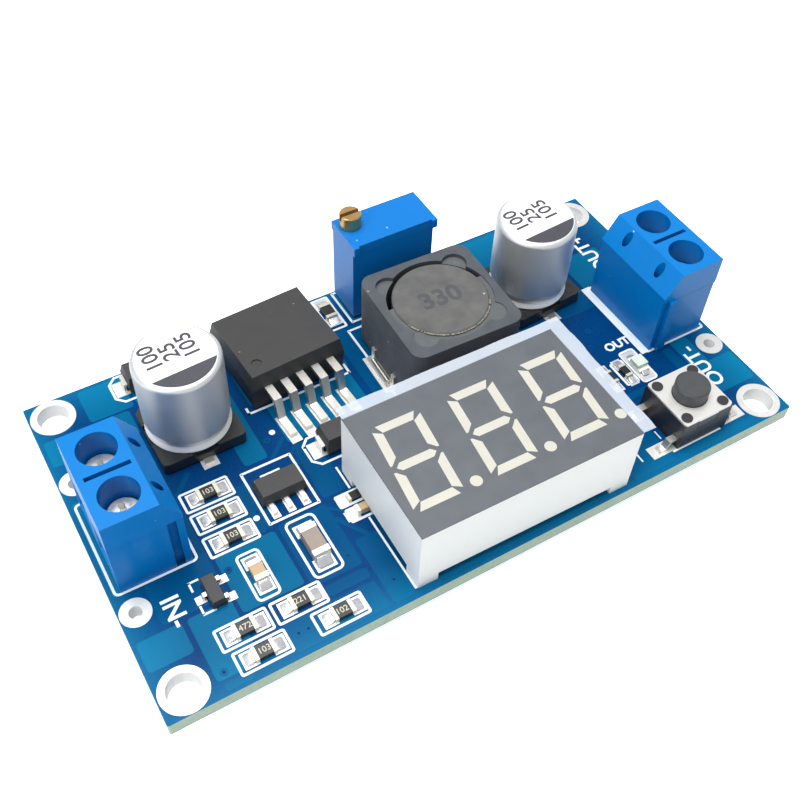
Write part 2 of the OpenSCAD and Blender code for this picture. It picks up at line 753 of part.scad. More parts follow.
module inductor_shield() {
    color("#4d4d50") difference() {
        translate([0, 0, shield_z]) rounded_plate(coil_w, coil_w, coil_corner_r, coil_h - shield_z);
        translate([0, 0, shield_z - cut]) cylinder(d = coil_bore_d, h = coil_h + 2 * cut);
        // Corner pockets for the adhesive, top and bottom
        for (a = [45:90:315], z = [coil_h - pocket_depth, shield_z - cut])
            rotate(a) translate([coil_bore_d / 2, 0, z])
                cylinder(r = pocket_r, h = pocket_depth + cut);
    }
}

// Drum core: two discs on a post
module inductor_core() {
    color("#5a5a5c") {
        translate([0, 0, shield_z]) cylinder(d = coil_bore_d - 0.3, h = flange_t);
        translate([0, 0, shield_z + flange_t])
            cylinder(d = drum_post_d, h = drum_top - shield_z - 2 * flange_t);
        translate([0, 0, drum_top - flange_t]) cylinder(d = drum_d, h = flange_t - bevel);
        translate([0, 0, drum_top - bevel]) cylinder(d1 = drum_d, d2 = drum_d - 2 * bevel, h = bevel);
    }
}

// Wound copper between the discs
module inductor_winding() {
    color("#b4713a")
        ring(drum_d - 0.5, drum_post_d, shield_z + flange_t, drum_top - flange_t);
}

// Tinned clips under the ends, with a turned-up lip and the tinned wire ends on them
module inductor_clips() {
    color("#d5d4ce") for (side = [-1, 1]) {
        slab(side * (coil_w / 2 + clip_out / 2 - clip_under / 2), 0, clip_under + clip_out, clip_w,
             pad_t, pad_t + clip_t);
        for (y = [-1, 1])
            slab(side * (coil_w / 2 + clip_t / 2 + 0.025), y * (clip_w / 2 - 0.3), clip_t, 0.6,
                 pad_t, clip_lip_h);
        translate([side * (coil_w / 2 + wire_end_d), 0, pad_t + clip_t + wire_end_d / 2 - 0.05])
            rotate([90, 0, 0])
                cylinder(d = wire_end_d, h = clip_w - 2 * wire_end_inset, center = true);
    }
}

// Adhesive: a bead in the front half of the gap round the drum, and in the corner pockets
module inductor_adhesive() {
    bead_drop = 0.12;
    color("#8f8a7c") {
        difference() {
            ring(coil_bore_d, drum_d, coil_h - 0.7, coil_h - bead_drop);
            slab(0, coil_w / 2 + 1, coil_w + cut, coil_w, 0, coil_h + cut);
        }
        for (a = [45:90:315]) difference() {
            rotate(a) translate([coil_bore_d / 2, 0, coil_h - pocket_depth])
                cylinder(r = pocket_r, h = pocket_depth - (a > 180 ? bead_drop : 3.5 * bead_drop));
            translate([0, 0, coil_h - pocket_depth - cut])
                cylinder(d = coil_bore_d, h = pocket_depth + 2 * cut);
        }
    }
}

// ---------- regulator ----------
// Own frame: body centred, leads towards -Y

module at_regulator() on_board(reg_x, board_w - reg_back, reg_turn) children();

reg_exit_z = 2.3;
reg_foot_l = 2.6;
reg_slope = 0.6;
reg_root = 1.5;
reg_tab_t = 1.3;
reg_tab_w = 8.4;

module regulator_pads() {
    for (k = [-2:2])
        slab(k * reg_pitch, -reg_d / 2 - reg_lead_reach + reg_foot_l / 2 - 0.3,
             reg_lead_w + 0.3, reg_foot_l + 1, 0, pad_t);
    slab(0, 0.6, reg_tab_w + 1.4, reg_d + 0.6, 0, pad_t);
}

module regulator_leads() {
    color("#dcdcd8") {
        for (k = [-2:2]) translate([k * reg_pitch, -reg_d / 2, 0])
            gull_lead(reg_lead_reach, reg_foot_l, reg_exit_z, reg_lead_t, reg_slope, reg_lead_w, reg_root);
        regulator_tab();
    }
}

// Heat tab under the body, showing at the back
module regulator_tab() {
    block([-reg_tab_w / 2, -1, pad_t], [reg_tab_w / 2, reg_d / 2 + reg_tab_out, pad_t + reg_tab_t]);
}

module regulator_body() {
    color("#3a3b3e") difference() {
        drafted_body(reg_w, reg_d, pad_t, reg_exit_z + reg_lead_t, reg_h, 0.3);
        for (k = [-2:2]) translate([k * reg_pitch, -reg_d / 2, 0])
            block([-reg_lead_w / 2, -cut, reg_exit_z], [reg_lead_w / 2, reg_root, reg_exit_z + reg_lead_t]);
        regulator_tab();
        // First-pin dimple
        translate([-reg_w / 2 + 1.5, -reg_d / 2 + 1.7, reg_h - 0.12]) cylinder(d = 1.1, h = cut);
    }
}

// ---------- diodes ----------
// Own frame: leads along X, cathode band towards -X

dio_lead_w = 1.4;
dio_lead_t = 0.2;

module at_diodes() {
    on_board(out_diode_x, out_diode_y) children();
    on_board(in_diode_x, board_w - in_diode_back) children();
}

module diode_bodies() {
    color("#3c3c3e") at_diodes() difference() {
        drafted_body(dio_l, dio_w, pad_t + dio_lead_t + 0.02, dio_h / 2, dio_h, 0.25);
        for (side = [-1, 1]) mirror([side < 0 ? 1 : 0, 0, 0])
            slab(dio_l / 2, 0, 1.0, dio_lead_w, dio_h / 2 - dio_lead_t / 2, dio_h / 2 + dio_lead_t / 2);
    }
}

// Leads folded down and under the body
module diode_leads() {
    z = dio_h / 2;
    t = dio_lead_t;
    x = dio_span / 2;
    color("#d8d8d4") at_diodes() for (side = [0, 1]) mirror([side, 0, 0])
        prism_y([[dio_l / 2 - 0.5, z - t / 2], [x - t, z - t / 2], [x - t, pad_t + t],
                 [x - 1.3, pad_t + t], [x - 1.3, pad_t], [x, pad_t], [x, z + t / 2],
                 [dio_l / 2 - 0.5, z + t / 2]], dio_lead_w);
}

// ---------- trimmer ----------
// Own frame: body centred, screw at the back left

module at_trimmer() on_board(board_l / 2 + trim_x, trim_front + trim_d / 2) children();
module at_trimmer_pins() for (k = [-1:1]) translate([k * pin_pitch, 0, 0]) children();
module at_trimmer_screw() {
    translate([-trim_w / 2 + trim_screw_inset, trim_d / 2 - trim_screw_inset, 0]) children();
}

trim_base_h = 1.0;
trim_stand = 0.4;
trim_neck_l = 3;
trim_head_gap = 0.05;
trim_wall = 0.5;

module trimmer_housing() {
    body_w = trim_w - 2 * trim_lip;
    body_d = trim_d - 2 * trim_lip;
    color("#2a7fd4") difference() {
        union() {
            // Body, flush with the top at the left end
            block([-trim_w / 2, -body_d / 2, trim_stand],
                  [body_w / 2, body_d / 2, trim_h - trim_lid_t]);
            // Wider top with a shallow recess along its front
            difference() {
                block([-trim_w / 2, -trim_d / 2, trim_h - trim_lid_t], [trim_w / 2, trim_d / 2, trim_h]);
                slab(0, -trim_d / 2, trim_w - 1.2, 0.5, trim_h - trim_lid_t - cut, trim_h + cut);
            }
        }
        // Seat of the sealed base
        slab((body_w - trim_w) / 4, 0, (trim_w + body_w) / 2 - 2 * trim_wall, body_d - 2 * trim_wall,
             trim_stand - cut, trim_stand + trim_base_h);
        at_trimmer_screw() translate([0, 0, trim_h - trim_neck_l - 0.1])
            cylinder(d = trim_neck_d + 2 * trim_neck_gap, h = trim_neck_l + cut);
    }
}

// Cast resin that closes the housing
module trimmer_base() {
    body_w = trim_w - 2 * trim_lip;
    body_d = trim_d - 2 * trim_lip;
    color("#c8b98a") difference() {
        slab((body_w - trim_w) / 4, 0, (trim_w + body_w) / 2 - 2 * trim_wall, body_d - 2 * trim_wall,
             trim_stand + 0.1, trim_stand + trim_base_h);
        at_trimmer_pins() translate([0, 0, -cut]) cylinder(d = thin_pin_d, h = trim_base_h + 2 + cut);
    }
}

module trimmer_pins() {
    color("#d9d8d2") at_trimmer_pins() translate([0, 0, tip_z])
        cylinder(d = thin_pin_d, h = trim_stand + trim_base_h - tip_z);
}

// Slotted brass adjusting screw
module trimmer_screw() {
    color("#c9a45a") at_trimmer_screw() difference() {
        union() {
            translate([0, 0, trim_h - trim_neck_l]) cylinder(d = trim_neck_d, h = trim_neck_l + 0.5);
            translate([0, 0, trim_h + trim_head_gap]) cylinder(d = trim_head_d, h = trim_head_h - 0.1);
            translate([0, 0, trim_h + trim_head_gap + trim_head_h - 0.1])
                cylinder(d1 = trim_head_d, d2 = trim_head_d - 0.2, h = 0.1);
        }
        slab(0, 0, trim_head_d + cut, 0.45, trim_h + trim_head_h - 0.6, trim_h + trim_head_h + cut);
    }
}

// ---------- display ----------
// Own frame: body centred

module at_display() on_board(board_l / 2 + disp_x, disp_y, disp_turn) children();

disp_board_z = 2.8;
disp_board_t = 1.0;
die_w = 0.28;
die_t = 0.1;
front_pins = 6;
back_pins = 5;
cavity_z = disp_board_z + disp_board_t;

module at_display_pins() {
    for (k = [0:front_pins - 1])
        translate([(k - (front_pins - 1) / 2) * pin_pitch, -disp_row_gap / 2, 0]) children();
    for (k = [0:back_pins - 1])
        translate([(k - (front_pins - 1) / 2) * pin_pitch, disp_row_gap / 2, 0]) children();
}

// Slanted copy of an outline
function slanted(points) = [for (p = points) [p[0] + p[1] * tan(digit_slant), p[1]]];
// Mirrored copies of an outline
function flipped(points, sx, sy) = [for (p = points) [sx * p[0], sy * p[1]]];

function bar_outline() = [[-digit_w / 2 + seg_gap, digit_h / 2], [digit_w / 2 - seg_gap, digit_h / 2],
    [digit_w / 2 - seg_gap - seg_w / 2, digit_h / 2 - seg_w],
    [-digit_w / 2 + seg_gap + seg_w / 2, digit_h / 2 - seg_w]];
function post_outline() = [[-digit_w / 2, digit_h / 2 - seg_gap],
    [-digit_w / 2 + seg_w, digit_h / 2 - seg_gap - seg_w * 0.6],
    [-digit_w / 2 + seg_w, seg_gap + seg_w * 0.7], [-digit_w / 2 + 0.2, seg_gap * 0.8],
    [-digit_w / 2, seg_gap * 0.8]];
function middle_outline() = [[-digit_w / 2 + seg_gap, 0], [-digit_w / 2 + seg_gap + seg_w / 2, seg_w / 2],
    [digit_w / 2 - seg_gap - seg_w / 2, seg_w / 2], [digit_w / 2 - seg_gap, 0],
    [digit_w / 2 - seg_gap - seg_w / 2, -seg_w / 2], [-digit_w / 2 + seg_gap + seg_w / 2, -seg_w / 2]];

// Middle of each segment of a digit, where its light sits
function light_places() = [
    [0, digit_h / 2 - seg_w / 2], [0, 0], [0, -digit_h / 2 + seg_w / 2],
    [-digit_w / 2 + seg_w / 2, digit_h / 4], [digit_w / 2 - seg_w / 2, digit_h / 4],
    [-digit_w / 2 + seg_w / 2, -digit_h / 4], [digit_w / 2 - seg_w / 2, -digit_h / 4]
];
function point_place() = [digit_w / 2 + 0.87, -digit_h / 2 + seg_w / 2];

// The eight outlines of one digit, each run to height h
module digit_prisms(z0, h) {
    translate([0, 0, z0]) linear_extrude(h) {
        polygon(slanted(bar_outline()));
        polygon(slanted(flipped(bar_outline(), 1, -1)));
        polygon(slanted(middle_outline()));
        for (sx = [-1, 1], sy = [-1, 1]) polygon(slanted(flipped(post_outline(), sx, sy)));
        translate(point_place()) circle(d = point_d);
    }
}

module at_digits() for (k = [-1:1]) translate([k * digit_pitch - 0.1, 0, 0]) children();

module display_housing() {
    color("#eceeed") difference() {
        slab(0, 0, disp_w, disp_d, 0, disp_h - face_t);
        // Hollow for the display's own board
        slab(0, 0, disp_w - 2 * disp_wall, disp_d - 2 * disp_wall, -cut, cavity_z);
        // Relief between the corner feet
        slab(0, 0, disp_w + cut, disp_d - 2 * disp_foot_w, -cut, disp_relief);
        slab(0, 0, disp_w - 2 * disp_foot_w, disp_d + cut, -cut, disp_relief);
        at_digits() digit_prisms(cavity_z - cut, disp_h);
    }
}

module display_face() {
    color("#868b90") difference() {
        slab(0, 0, disp_w, disp_d, disp_h - face_t, disp_h);
        at_digits() digit_prisms(cavity_z, disp_h);
    }
}

module display_segments() {
    color("#f1f0e4") at_digits() digit_prisms(cavity_z + die_t, disp_h - cavity_z - die_t);
}

module display_chips() {
    color("#c04030") at_digits() {
        for (p = slanted(light_places())) translate([p[0], p[1], 0])
            slab(0, 0, die_w, die_w, cavity_z, cavity_z + die_t);
        translate(point_place()) slab(0, 0, die_w, die_w, cavity_z, cavity_z + die_t);
    }
}

module display_board() {
    color("#2f7d4f") difference() {
        slab(0, 0, disp_w - 2 * disp_wall, disp_d - 2 * disp_wall, disp_board_z, cavity_z);
        at_display_pins() translate([0, 0, -cut]) cylinder(d = thin_pin_d, h = disp_h);
    }
}

module display_pins() {
    color("#d9d8d2") at_display_pins() translate([0, 0, tip_z])
        cylinder(d = thin_pin_d, h = disp_board_z + disp_board_t - tip_z);
}

// Peel-off film, larger than the face at the right and the back
module display_film() {
    color("#c9dcec") block([-disp_w / 2, -disp_d / 2, disp_h],
        [disp_w / 2 + film_over_x, disp_d / 2 + film_over_y, disp_h + film_t]);
}

// ---------- push switch ----------
// Own frame: body centred, legs on the -X and +X sides

module at_switch() on_board(board_l - sw_x, sw_y) children();

sw_floor = 0.9;
sw_cavity_d = 4.6;
sw_leg_y = 2.2;
sw_leg_w = 0.7;
sw_leg_t = 0.2;
dome_d = 4.2;
dome_rise = 0.5;
dome_t = 0.08;
plunger_flange_d = 4.2;
plunger_flange_t = 0.6;
stud_proud = 0.12;
cover_drop = 1.2;
base_top = sw_h - cover_t;
dome_top = sw_floor + dome_rise + dome_t;

module at_studs() {
    for (x = [-1, 1], y = [-1, 1]) translate([x * stud_pitch / 2, y * stud_pitch / 2, 0]) children();
}

module switch_base() {
    color("#242628") {
        difference() {
            slab(0, 0, sw_w - 0.1, sw_w - 0.1, pad_t, base_top);
            translate([0, 0, sw_floor]) cylinder(d = sw_cavity_d, h = sw_h);
            // Recess for the cover's side tabs
            for (side = [-1, 1])
                slab(0, side * (sw_w / 2 - 0.05), 2.4, 2 * cover_t, base_top - cover_drop - 0.05, sw_h);
            // Grooves that the legs come out of
            for (x = [-1, 1], y = [-1, 1])
                slab(x * sw_w / 2, y * sw_leg_y, 0.8, sw_leg_w, sw_floor, sw_floor + sw_leg_t);
        }
        at_studs() translate([0, 0, base_top - 0.1])
            cylinder(d = stud_d, h = cover_t + stud_proud + 0.1);
    }
}

// Stamped cover, held by the four studs and two folded tabs
module switch_cover() {
    color("#e8e8e6") difference() {
        union() {
            translate([0, 0, base_top]) rounded_plate(sw_w - 0.2, sw_w - 0.1, 0.35, cover_t);
            for (side = [-1, 1])
                slab(0, side * (sw_w / 2 - 0.05 - cover_t / 2), 2.3, cover_t,
                     base_top - cover_drop, base_top + cover_t / 2);
        }
        cylinder(d = plunger_d + 2 * plunger_gap, h = 2 * sw_h);
        at_studs() cylinder(d = stud_d, h = 2 * sw_h);
    }
}

// Plunger with the flange that keeps it under the cover
module switch_plunger() {
    color("#4a4b4d") {
        translate([0, 0, dome_top + 0.02]) cylinder(d = 1.6, h = base_top - dome_top - 0.12);
        translate([0, 0, base_top - 0.03 - plunger_flange_t])
            cylinder(d = plunger_flange_d, h = plunger_flange_t);
        translate([0, 0, base_top - 0.1]) cylinder(d = plunger_d, h = sw_top - base_top + 0.1 - bevel);
        translate([0, 0, sw_top - bevel])
            cylinder(d1 = plunger_d, d2 = plunger_d - 2 * bevel, h = bevel);
    }
}

// Snap dome that springs the plunger back and closes the contact
module switch_dome() {
    r = dome_d / 2;
    // Radius of the sphere through the dome's rim and crown
    sphere_r = (r * r + dome_rise * dome_rise) / (2 * dome_rise);
    a_max = asin(r / sphere_r);
    z_c = sw_floor + dome_rise - sphere_r;
    n = 8;
    color("#c8c4b4") rotate_extrude() polygon(concat(
        [for (k = [0:n]) let (a = a_max * k / n) [sphere_r * sin(a), z_c + sphere_r * cos(a)]],
        [for (k = [n:-1:0]) let (a = a_max * k / n)
            [(sphere_r + dome_t) * sin(a), z_c + (sphere_r + dome_t) * cos(a)]]));
}

module switch_legs() {
    color("#d8d8d2") for (x = [0, 1], y = [-1, 1])
        mirror([x, 0, 0]) translate([-sw_w / 2 + 0.05, y * sw_leg_y, 0]) rotate(-90)
            gull_lead(sw_leg_reach, 1.0, sw_floor, sw_leg_t, 0.3, sw_leg_w, 0.35);
}

// ---------- small semiconductors ----------

module at_small_regulator() on_board(small_reg_x, small_reg_y) children();

// Small regulator: body 4.5 x 2.5 mm, three legs towards -Y and a tab towards +Y
small_reg_w = 4.5;
small_reg_d = 2.5;
small_reg_h = 1.5;
small_reg_pitch = 1.5;
small_reg_leg_w = 0.42;
small_reg_leg_l = 1.1;
small_reg_leg_t = 0.35;
small_reg_tab_w = 1.7;
small_reg_tab_l = 0.7;

module small_regulator_pads() {
    for (k = [-1:1])
        slab(k * small_reg_pitch, -small_reg_d / 2 - small_reg_leg_l / 2 - 0.1, 0.75,
             small_reg_leg_l + 0.5, 0, pad_t);
    slab(0, small_reg_d / 2, small_reg_tab_w + 0.3, 2 * small_reg_tab_l + 0.5, 0, pad_t);
}

module small_regulator_leads() {
    color("#dcdcd8") at_small_regulator() {
        for (k = [-1:1])
            block([k * small_reg_pitch - small_reg_leg_w / 2, -small_reg_d / 2 - small_reg_leg_l, pad_t],
                  [k * small_reg_pitch + small_reg_leg_w / 2, -small_reg_d / 2 + 0.3,
                   pad_t + small_reg_leg_t]);
        small_regulator_tab();
    }
}

module small_regulator_tab() {
    block([-small_reg_tab_w / 2, 0, pad_t],
          [small_reg_tab_w / 2, small_reg_d / 2 + small_reg_tab_l, pad_t + small_reg_leg_t]);
}

module small_regulator_body() {
    color("#3f4043") at_small_regulator() difference() {
        drafted_body(small_reg_w, small_reg_d, pad_t, 0.5, small_reg_h, 0.2);
        for (k = [-1:1])
            slab(k * small_reg_pitch, -small_reg_d / 2, small_reg_leg_w, 0.6, 0, pad_t + small_reg_leg_t);
        small_regulator_tab();
    }
}

// Three-legged transistor: one leg towards -X, two towards +X
tr_w = 1.3;
tr_l = 2.9;
tr_h = 1.1;
tr_leg_w = 0.42;
tr_leg_t = 0.15;
tr_reach = 0.65;
tr_pitch = 1.9;

module at_transistor() on_board(transistor_x, transistor_y) children();

// Runs its children at each leg's root, leg towards -Y
module at_transistor_legs() {
    translate([-tr_w / 2, 0, 0]) rotate(-90) children();
    for (y = [-1, 1]) translate([tr_w / 2, y * tr_pitch / 2, 0]) rotate(90) children();
}

module transistor_pads() {
    at_transistor_legs() slab(0, -tr_reach + 0.1, 0.8, 0.9, 0, pad_t);
}

module transistor_leads() {
    color("#dcdcd8") at_transistor() at_transistor_legs()
        gull_lead(tr_reach, 0.35, 0.5, tr_leg_t, 0.12, tr_leg_w, 0.2);
}

module transistor_body() {
    color("#2e3033") at_transistor() difference() {
        drafted_body(tr_w, tr_l, 0.1, 0.5 + tr_leg_t, tr_h, 0.1);
        at_transistor_legs() slab(0, 0, tr_leg_w, 0.4, 0.5, 0.5 + tr_leg_t);
    }
}

// Controller with ten leads on each long side, under the display
ctl_l = 6.5;
ctl_w = 4.4;
ctl_h = 1.1;
ctl_pitch = 0.65;
ctl_lead_w = 0.25;
ctl_lead_t = 0.12;
ctl_reach = 1.0;
ctl_leads = 10;

module at_controller() at_display() children();

// Runs its children at each lead's root, lead towards -Y
module at_controller_leads() {
    for (a = [0, 180], k = [0:ctl_leads - 1]) rotate(a)
        translate([(k - (ctl_leads - 1) / 2) * ctl_pitch, -ctl_w / 2, 0]) children();
}

module controller_pads() {
    at_controller_leads() slab(0, -ctl_reach + 0.2, 0.35, 1.1, 0, pad_t);
}

module controller_leads() {
    color("#dcdcd8") at_controller() at_controller_leads()
        gull_lead(ctl_reach, 0.5, 0.5, ctl_lead_t, 0.15, ctl_lead_w, 0.25);
}

module controller_body() {
    color("#2e3033") at_controller() difference() {
        drafted_body(ctl_l, ctl_w, 0.15, 0.5 + ctl_lead_t, ctl_h, 0.12);
        at_controller_leads() slab(0, 0, ctl_lead_w, 0.5, 0.5, 0.5 + ctl_lead_t);
    }
}

// ---------- chip parts ----------

module at_resistors() {
    for (c = resistors) on_board(c[1], c[2], c[3]) { $size = c[0]; children(); }
    for (c = output_resistors) on_board(board_l - c[1], c[2], c[3]) { $size = c[0]; children(); }
}

module at_ceramics() {
    for (c = ceramics) on_board(c[1], c[2], c[3]) { $size = c[0]; children(); }
}

module at_chips() {
    at_resistors() children();
    at_ceramics() children();
}

// Thickness of a chip's metal end cap
cap_skin = 0.04;

// End caps that wrap the chip's ends
module chip_caps(s) {
    for (side = [0, 1]) mirror([side, 0, 0]) difference() {
        block([s[0] / 2 - s[3], -s[1] / 2, pad_t], [s[0] / 2, s[1] / 2, pad_t + s[2]]);
        block([s[0] / 2 - s[3] - cut, -s[1] / 2 + cap_skin, pad_t + cap_skin],
              [s[0] / 2 - cap_skin, s[1] / 2 - cap_skin, pad_t + s[2] - cap_skin]);
    }
}

// Chip between and inside its end caps
module chip_body(s) {
    slab(0, 0, s[0] - 2 * cap_skin, s[1] - 2 * cap_skin, pad_t + cap_skin, pad_t + s[2] - cap_skin);
}

module chip_resistor_bodies() {
    color("#3b3b3d") at_resistors() chip_body($size);
}

module chip_resistor_caps() {
    color("#e2e2df") at_resistors() chip_caps($size);
}

module chip_capacitor_bodies() {
    color("#b08f6c") at_ceramics() chip_body($size);
}

module chip_capacitor_caps() {
    color("#e2e2df") at_ceramics() chip_caps($size);
}

// Output light
led_l = 2.0;
led_w = 1.25;
led_base_h = 0.35;
led_h = 0.85;
led_lens_l = 1.3;

module at_led() on_board(board_l - led_x, led_y, 90) children();

module led_base() {
    color("#eef0ea") at_led() slab(0, 0, led_l, led_w, pad_t, pad_t + led_base_h);
}

module led_lens() {
    color("#dfe8d8") at_led() slab(0, 0, led_lens_l, led_w, pad_t + led_base_h, pad_t + led_h);
}

// ---------- nodes ----------

circuit_board();
tinned_pads();
solder_joints();
at_input_terminal() terminal_housing();  // input_terminal_housing
at_input_terminal() terminal_cages();  // input_terminal_cages
at_input_terminal() at_pole(-1) clamp_screw();  // input_front_screw
at_input_terminal() at_pole(-1) clamp_leaf();  // input_front_leaf
at_input_terminal() at_pole(1) clamp_screw();  // input_back_screw
at_input_terminal() at_pole(1) clamp_leaf();  // input_back_leaf
at_output_terminal() terminal_housing();  // output_terminal_housing
at_output_terminal() terminal_cages();  // output_terminal_cages
at_output_terminal() at_pole(1) clamp_screw();  // output_front_screw
at_output_terminal() at_pole(1) clamp_leaf();  // output_front_leaf
at_output_terminal() at_pole(-1) clamp_screw();  // output_back_screw
at_output_terminal() at_pole(-1) clamp_leaf();  // output_back_leaf
at_input_capacitor() capacitor_can();  // input_capacitor_can
at_input_capacitor() capacitor_base();  // input_capacitor_base
at_input_capacitor() capacitor_leads();  // input_capacitor_leads
at_output_capacitor() capacitor_can();  // output_capacitor_can
at_output_capacitor() capacitor_base();  // output_capacitor_base
at_output_capacitor() capacitor_leads();  // output_capacitor_leads
at_inductor() inductor_shield();
at_inductor() inductor_core();
at_inductor() inductor_winding();
at_inductor() inductor_clips();
at_inductor() inductor_adhesive();
at_regulator() regulator_body();
at_regulator() regulator_leads();
diode_bodies();
diode_leads();
at_trimmer() trimmer_housing();
at_trimmer() trimmer_base();
at_trimmer() trimmer_pins();
at_trimmer() trimmer_screw();
at_display() display_housing();
at_display() display_face();
at_display() display_segments();
at_display() display_chips();
at_display() display_board();
at_display() display_pins();
at_display() display_film();
at_switch() switch_base();
at_switch() switch_cover();
at_switch() switch_plunger();
at_switch() switch_dome();
at_switch() switch_legs();
small_regulator_body();
small_regulator_leads();
transistor_body();
transistor_leads();
chip_resistor_bodies();
chip_resistor_caps();
chip_capacitor_bodies();
chip_capacitor_caps();
led_base();
led_lens();
controller_body();
controller_leads();
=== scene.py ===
"""Looks of the step-down converter module: finishes, legend, solder and film on the CAD frame."""
import math

import bmesh
import bpy
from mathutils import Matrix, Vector


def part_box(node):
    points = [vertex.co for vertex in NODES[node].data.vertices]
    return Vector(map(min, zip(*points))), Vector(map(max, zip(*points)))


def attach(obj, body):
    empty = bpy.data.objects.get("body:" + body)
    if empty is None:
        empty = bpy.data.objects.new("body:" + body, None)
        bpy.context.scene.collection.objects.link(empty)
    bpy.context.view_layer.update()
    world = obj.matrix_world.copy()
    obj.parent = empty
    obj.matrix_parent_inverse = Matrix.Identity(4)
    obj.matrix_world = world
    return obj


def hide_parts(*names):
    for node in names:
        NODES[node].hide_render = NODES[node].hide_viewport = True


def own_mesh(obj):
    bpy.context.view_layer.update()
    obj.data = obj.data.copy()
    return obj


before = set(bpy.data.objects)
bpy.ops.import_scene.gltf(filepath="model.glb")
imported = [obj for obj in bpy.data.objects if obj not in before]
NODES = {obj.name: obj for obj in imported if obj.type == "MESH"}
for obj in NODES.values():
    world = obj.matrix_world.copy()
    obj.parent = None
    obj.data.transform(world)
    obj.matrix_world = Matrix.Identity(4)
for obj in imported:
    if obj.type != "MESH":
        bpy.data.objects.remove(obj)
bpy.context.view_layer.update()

MM = 0.001

board_low, board_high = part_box("circuit_board")
BOARD_TOP = board_high[2]
BOARD_L = (board_high[0] - board_low[0]) / MM
BOARD_W = (board_high[1] - board_low[1]) / MM
# Heights of the copper under the mask and of the printed legend, and the legend's line width
POUR_H = 0.02 * MM
LEGEND_H = 0.035 * MM
LINE_W = 0.24 * MM
# How far the letters' strokes are thickened, as a share of their size
BOLD = 0.018
# The display's body, and its turn on the board in degrees
DISPLAY_L = 22.5 * MM
DISPLAY_W = 14.0 * MM
DISPLAY_TURN = -0.7

# ---------- places and colours ----------


def on_board(x, y, z=0.0):
    """Point x, y millimetres from the board's front left corner and z over its top, in metres."""
    return Vector((board_low[0] + x * MM, board_low[1] + y * MM, BOARD_TOP + z * MM))


def box_of(node):
    """Low and high corner of a CAD node's box."""
    low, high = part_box(node)
    return Vector(low), Vector(high)


def top_of(node):
    """Middle of the top of a CAD node's box."""
    low, high = box_of(node)
    place = (low + high) / 2
    place.z = high.z
    return place


def headings(turn):
    """Unit vectors in the board's plane: X turned by so many degrees, and the way left of it."""
    angle = math.radians(turn)
    across = Vector((math.cos(angle), math.sin(angle), 0))
    return across, Vector((-across.y, across.x, 0))


def tone(red, green, blue):
    """Colour given as it shows on a screen, 0 to 255, as Blender's linear values."""
    def linear(v):
        v /= 255
        return v / 12.92 if v <= 0.04045 else ((v + 0.055) / 1.055) ** 2.4
    return (linear(red), linear(green), linear(blue), 1.0)


# ---------- shader groups ----------


def make_group(name, inputs, outputs):
    """Empty shader group with named inputs (name, kind, default) and outputs (name, kind)."""
    group = bpy.data.node_groups.new(name, "ShaderNodeTree")
    for label, kind, default in inputs:
        socket = group.interface.new_socket(label, in_out="INPUT", socket_type="NodeSocket" + kind)
        socket.default_value = default
    for label, kind in outputs:
        group.interface.new_socket(label, in_out="OUTPUT", socket_type="NodeSocket" + kind)
    return group, group.nodes.new("NodeGroupInput"), group.nodes.new("NodeGroupOutput")


def feed(tree, socket, value):
    """Gives a socket its value, or links it where the value is another socket."""
    if isinstance(value, bpy.types.NodeSocket):
        tree.links.new(value, socket)
    else:
        socket.default_value = value


def math_node(tree, operation, *values, clamp=False):
    node = tree.nodes.new("ShaderNodeMath")
    node.operation = operation
    node.use_clamp = clamp
    for socket, value in zip(node.inputs, values):
        feed(tree, socket, value)
    return node.outputs[0]


def noise_node(tree, place, scale, detail=2.0):
    node = tree.nodes.new("ShaderNodeTexNoise")
    node.inputs["Detail"].default_value = detail
    feed(tree, node.inputs["Vector"], place)
    feed(tree, node.inputs["Scale"], scale)
    return node.outputs["Fac"]


def mix_colours(tree, factor, first, second):
    """Colour that goes from first to second as the factor goes from 0 to 1."""
    node = tree.nodes.new("ShaderNodeMix")
    node.data_type = "RGBA"
    feed(tree, node.inputs["Factor"], factor)
    feed(tree, node.inputs["A"], first)
    feed(tree, node.inputs["B"], second)
    return node.outputs["Result"]


def object_place(tree):
    """Object coordinates, which stay with the piece as it moves."""
    return tree.nodes.new("ShaderNodeTexCoord").outputs["Object"]


def axes_of(tree, vector):
    """Outputs X, Y and Z of a vector."""
    node = tree.nodes.new("ShaderNodeSeparateXYZ")
    tree.links.new(vector, node.inputs[0])
    return node.outputs


def uneven_roughness(group, source, pattern):
    """Roughness that swings round its middle value with the pattern."""
    swing = math_node(group, "SUBTRACT", pattern, 0.5)
    swing = math_node(group, "MULTIPLY", swing, source.outputs["Roughness Spread"])
    return math_node(group, "ADD", source.outputs["Roughness"], swing, clamp=True)


def mottle_group():
    """Soft blotches between two colours, and a fine grain that the roughness follows."""
    group, source, result = make_group(
        "mottle",
        [("Colour", "Color", (0.5, 0.5, 0.5, 1)), ("Second Colour", "Color", (0.4, 0.4, 0.4, 1)),
         ("Blotch Scale", "Float", 300.0), ("Grain Scale", "Float", 4000.0),
         ("Roughness", "Float", 0.5), ("Roughness Spread", "Float", 0.1)],
        [("Colour", "Color"), ("Roughness", "Float"), ("Grain", "Float")])
    place = object_place(group)
    blotch = noise_node(group, place, source.outputs["Blotch Scale"], detail=4)
    grain = noise_node(group, place, source.outputs["Grain Scale"], detail=3)
    colour = mix_colours(group, blotch, source.outputs["Colour"], source.outputs["Second Colour"])
    group.links.new(colour, result.inputs["Colour"])
    group.links.new(uneven_roughness(group, source, grain), result.inputs["Roughness"])
    group.links.new(grain, result.inputs["Grain"])
    return group


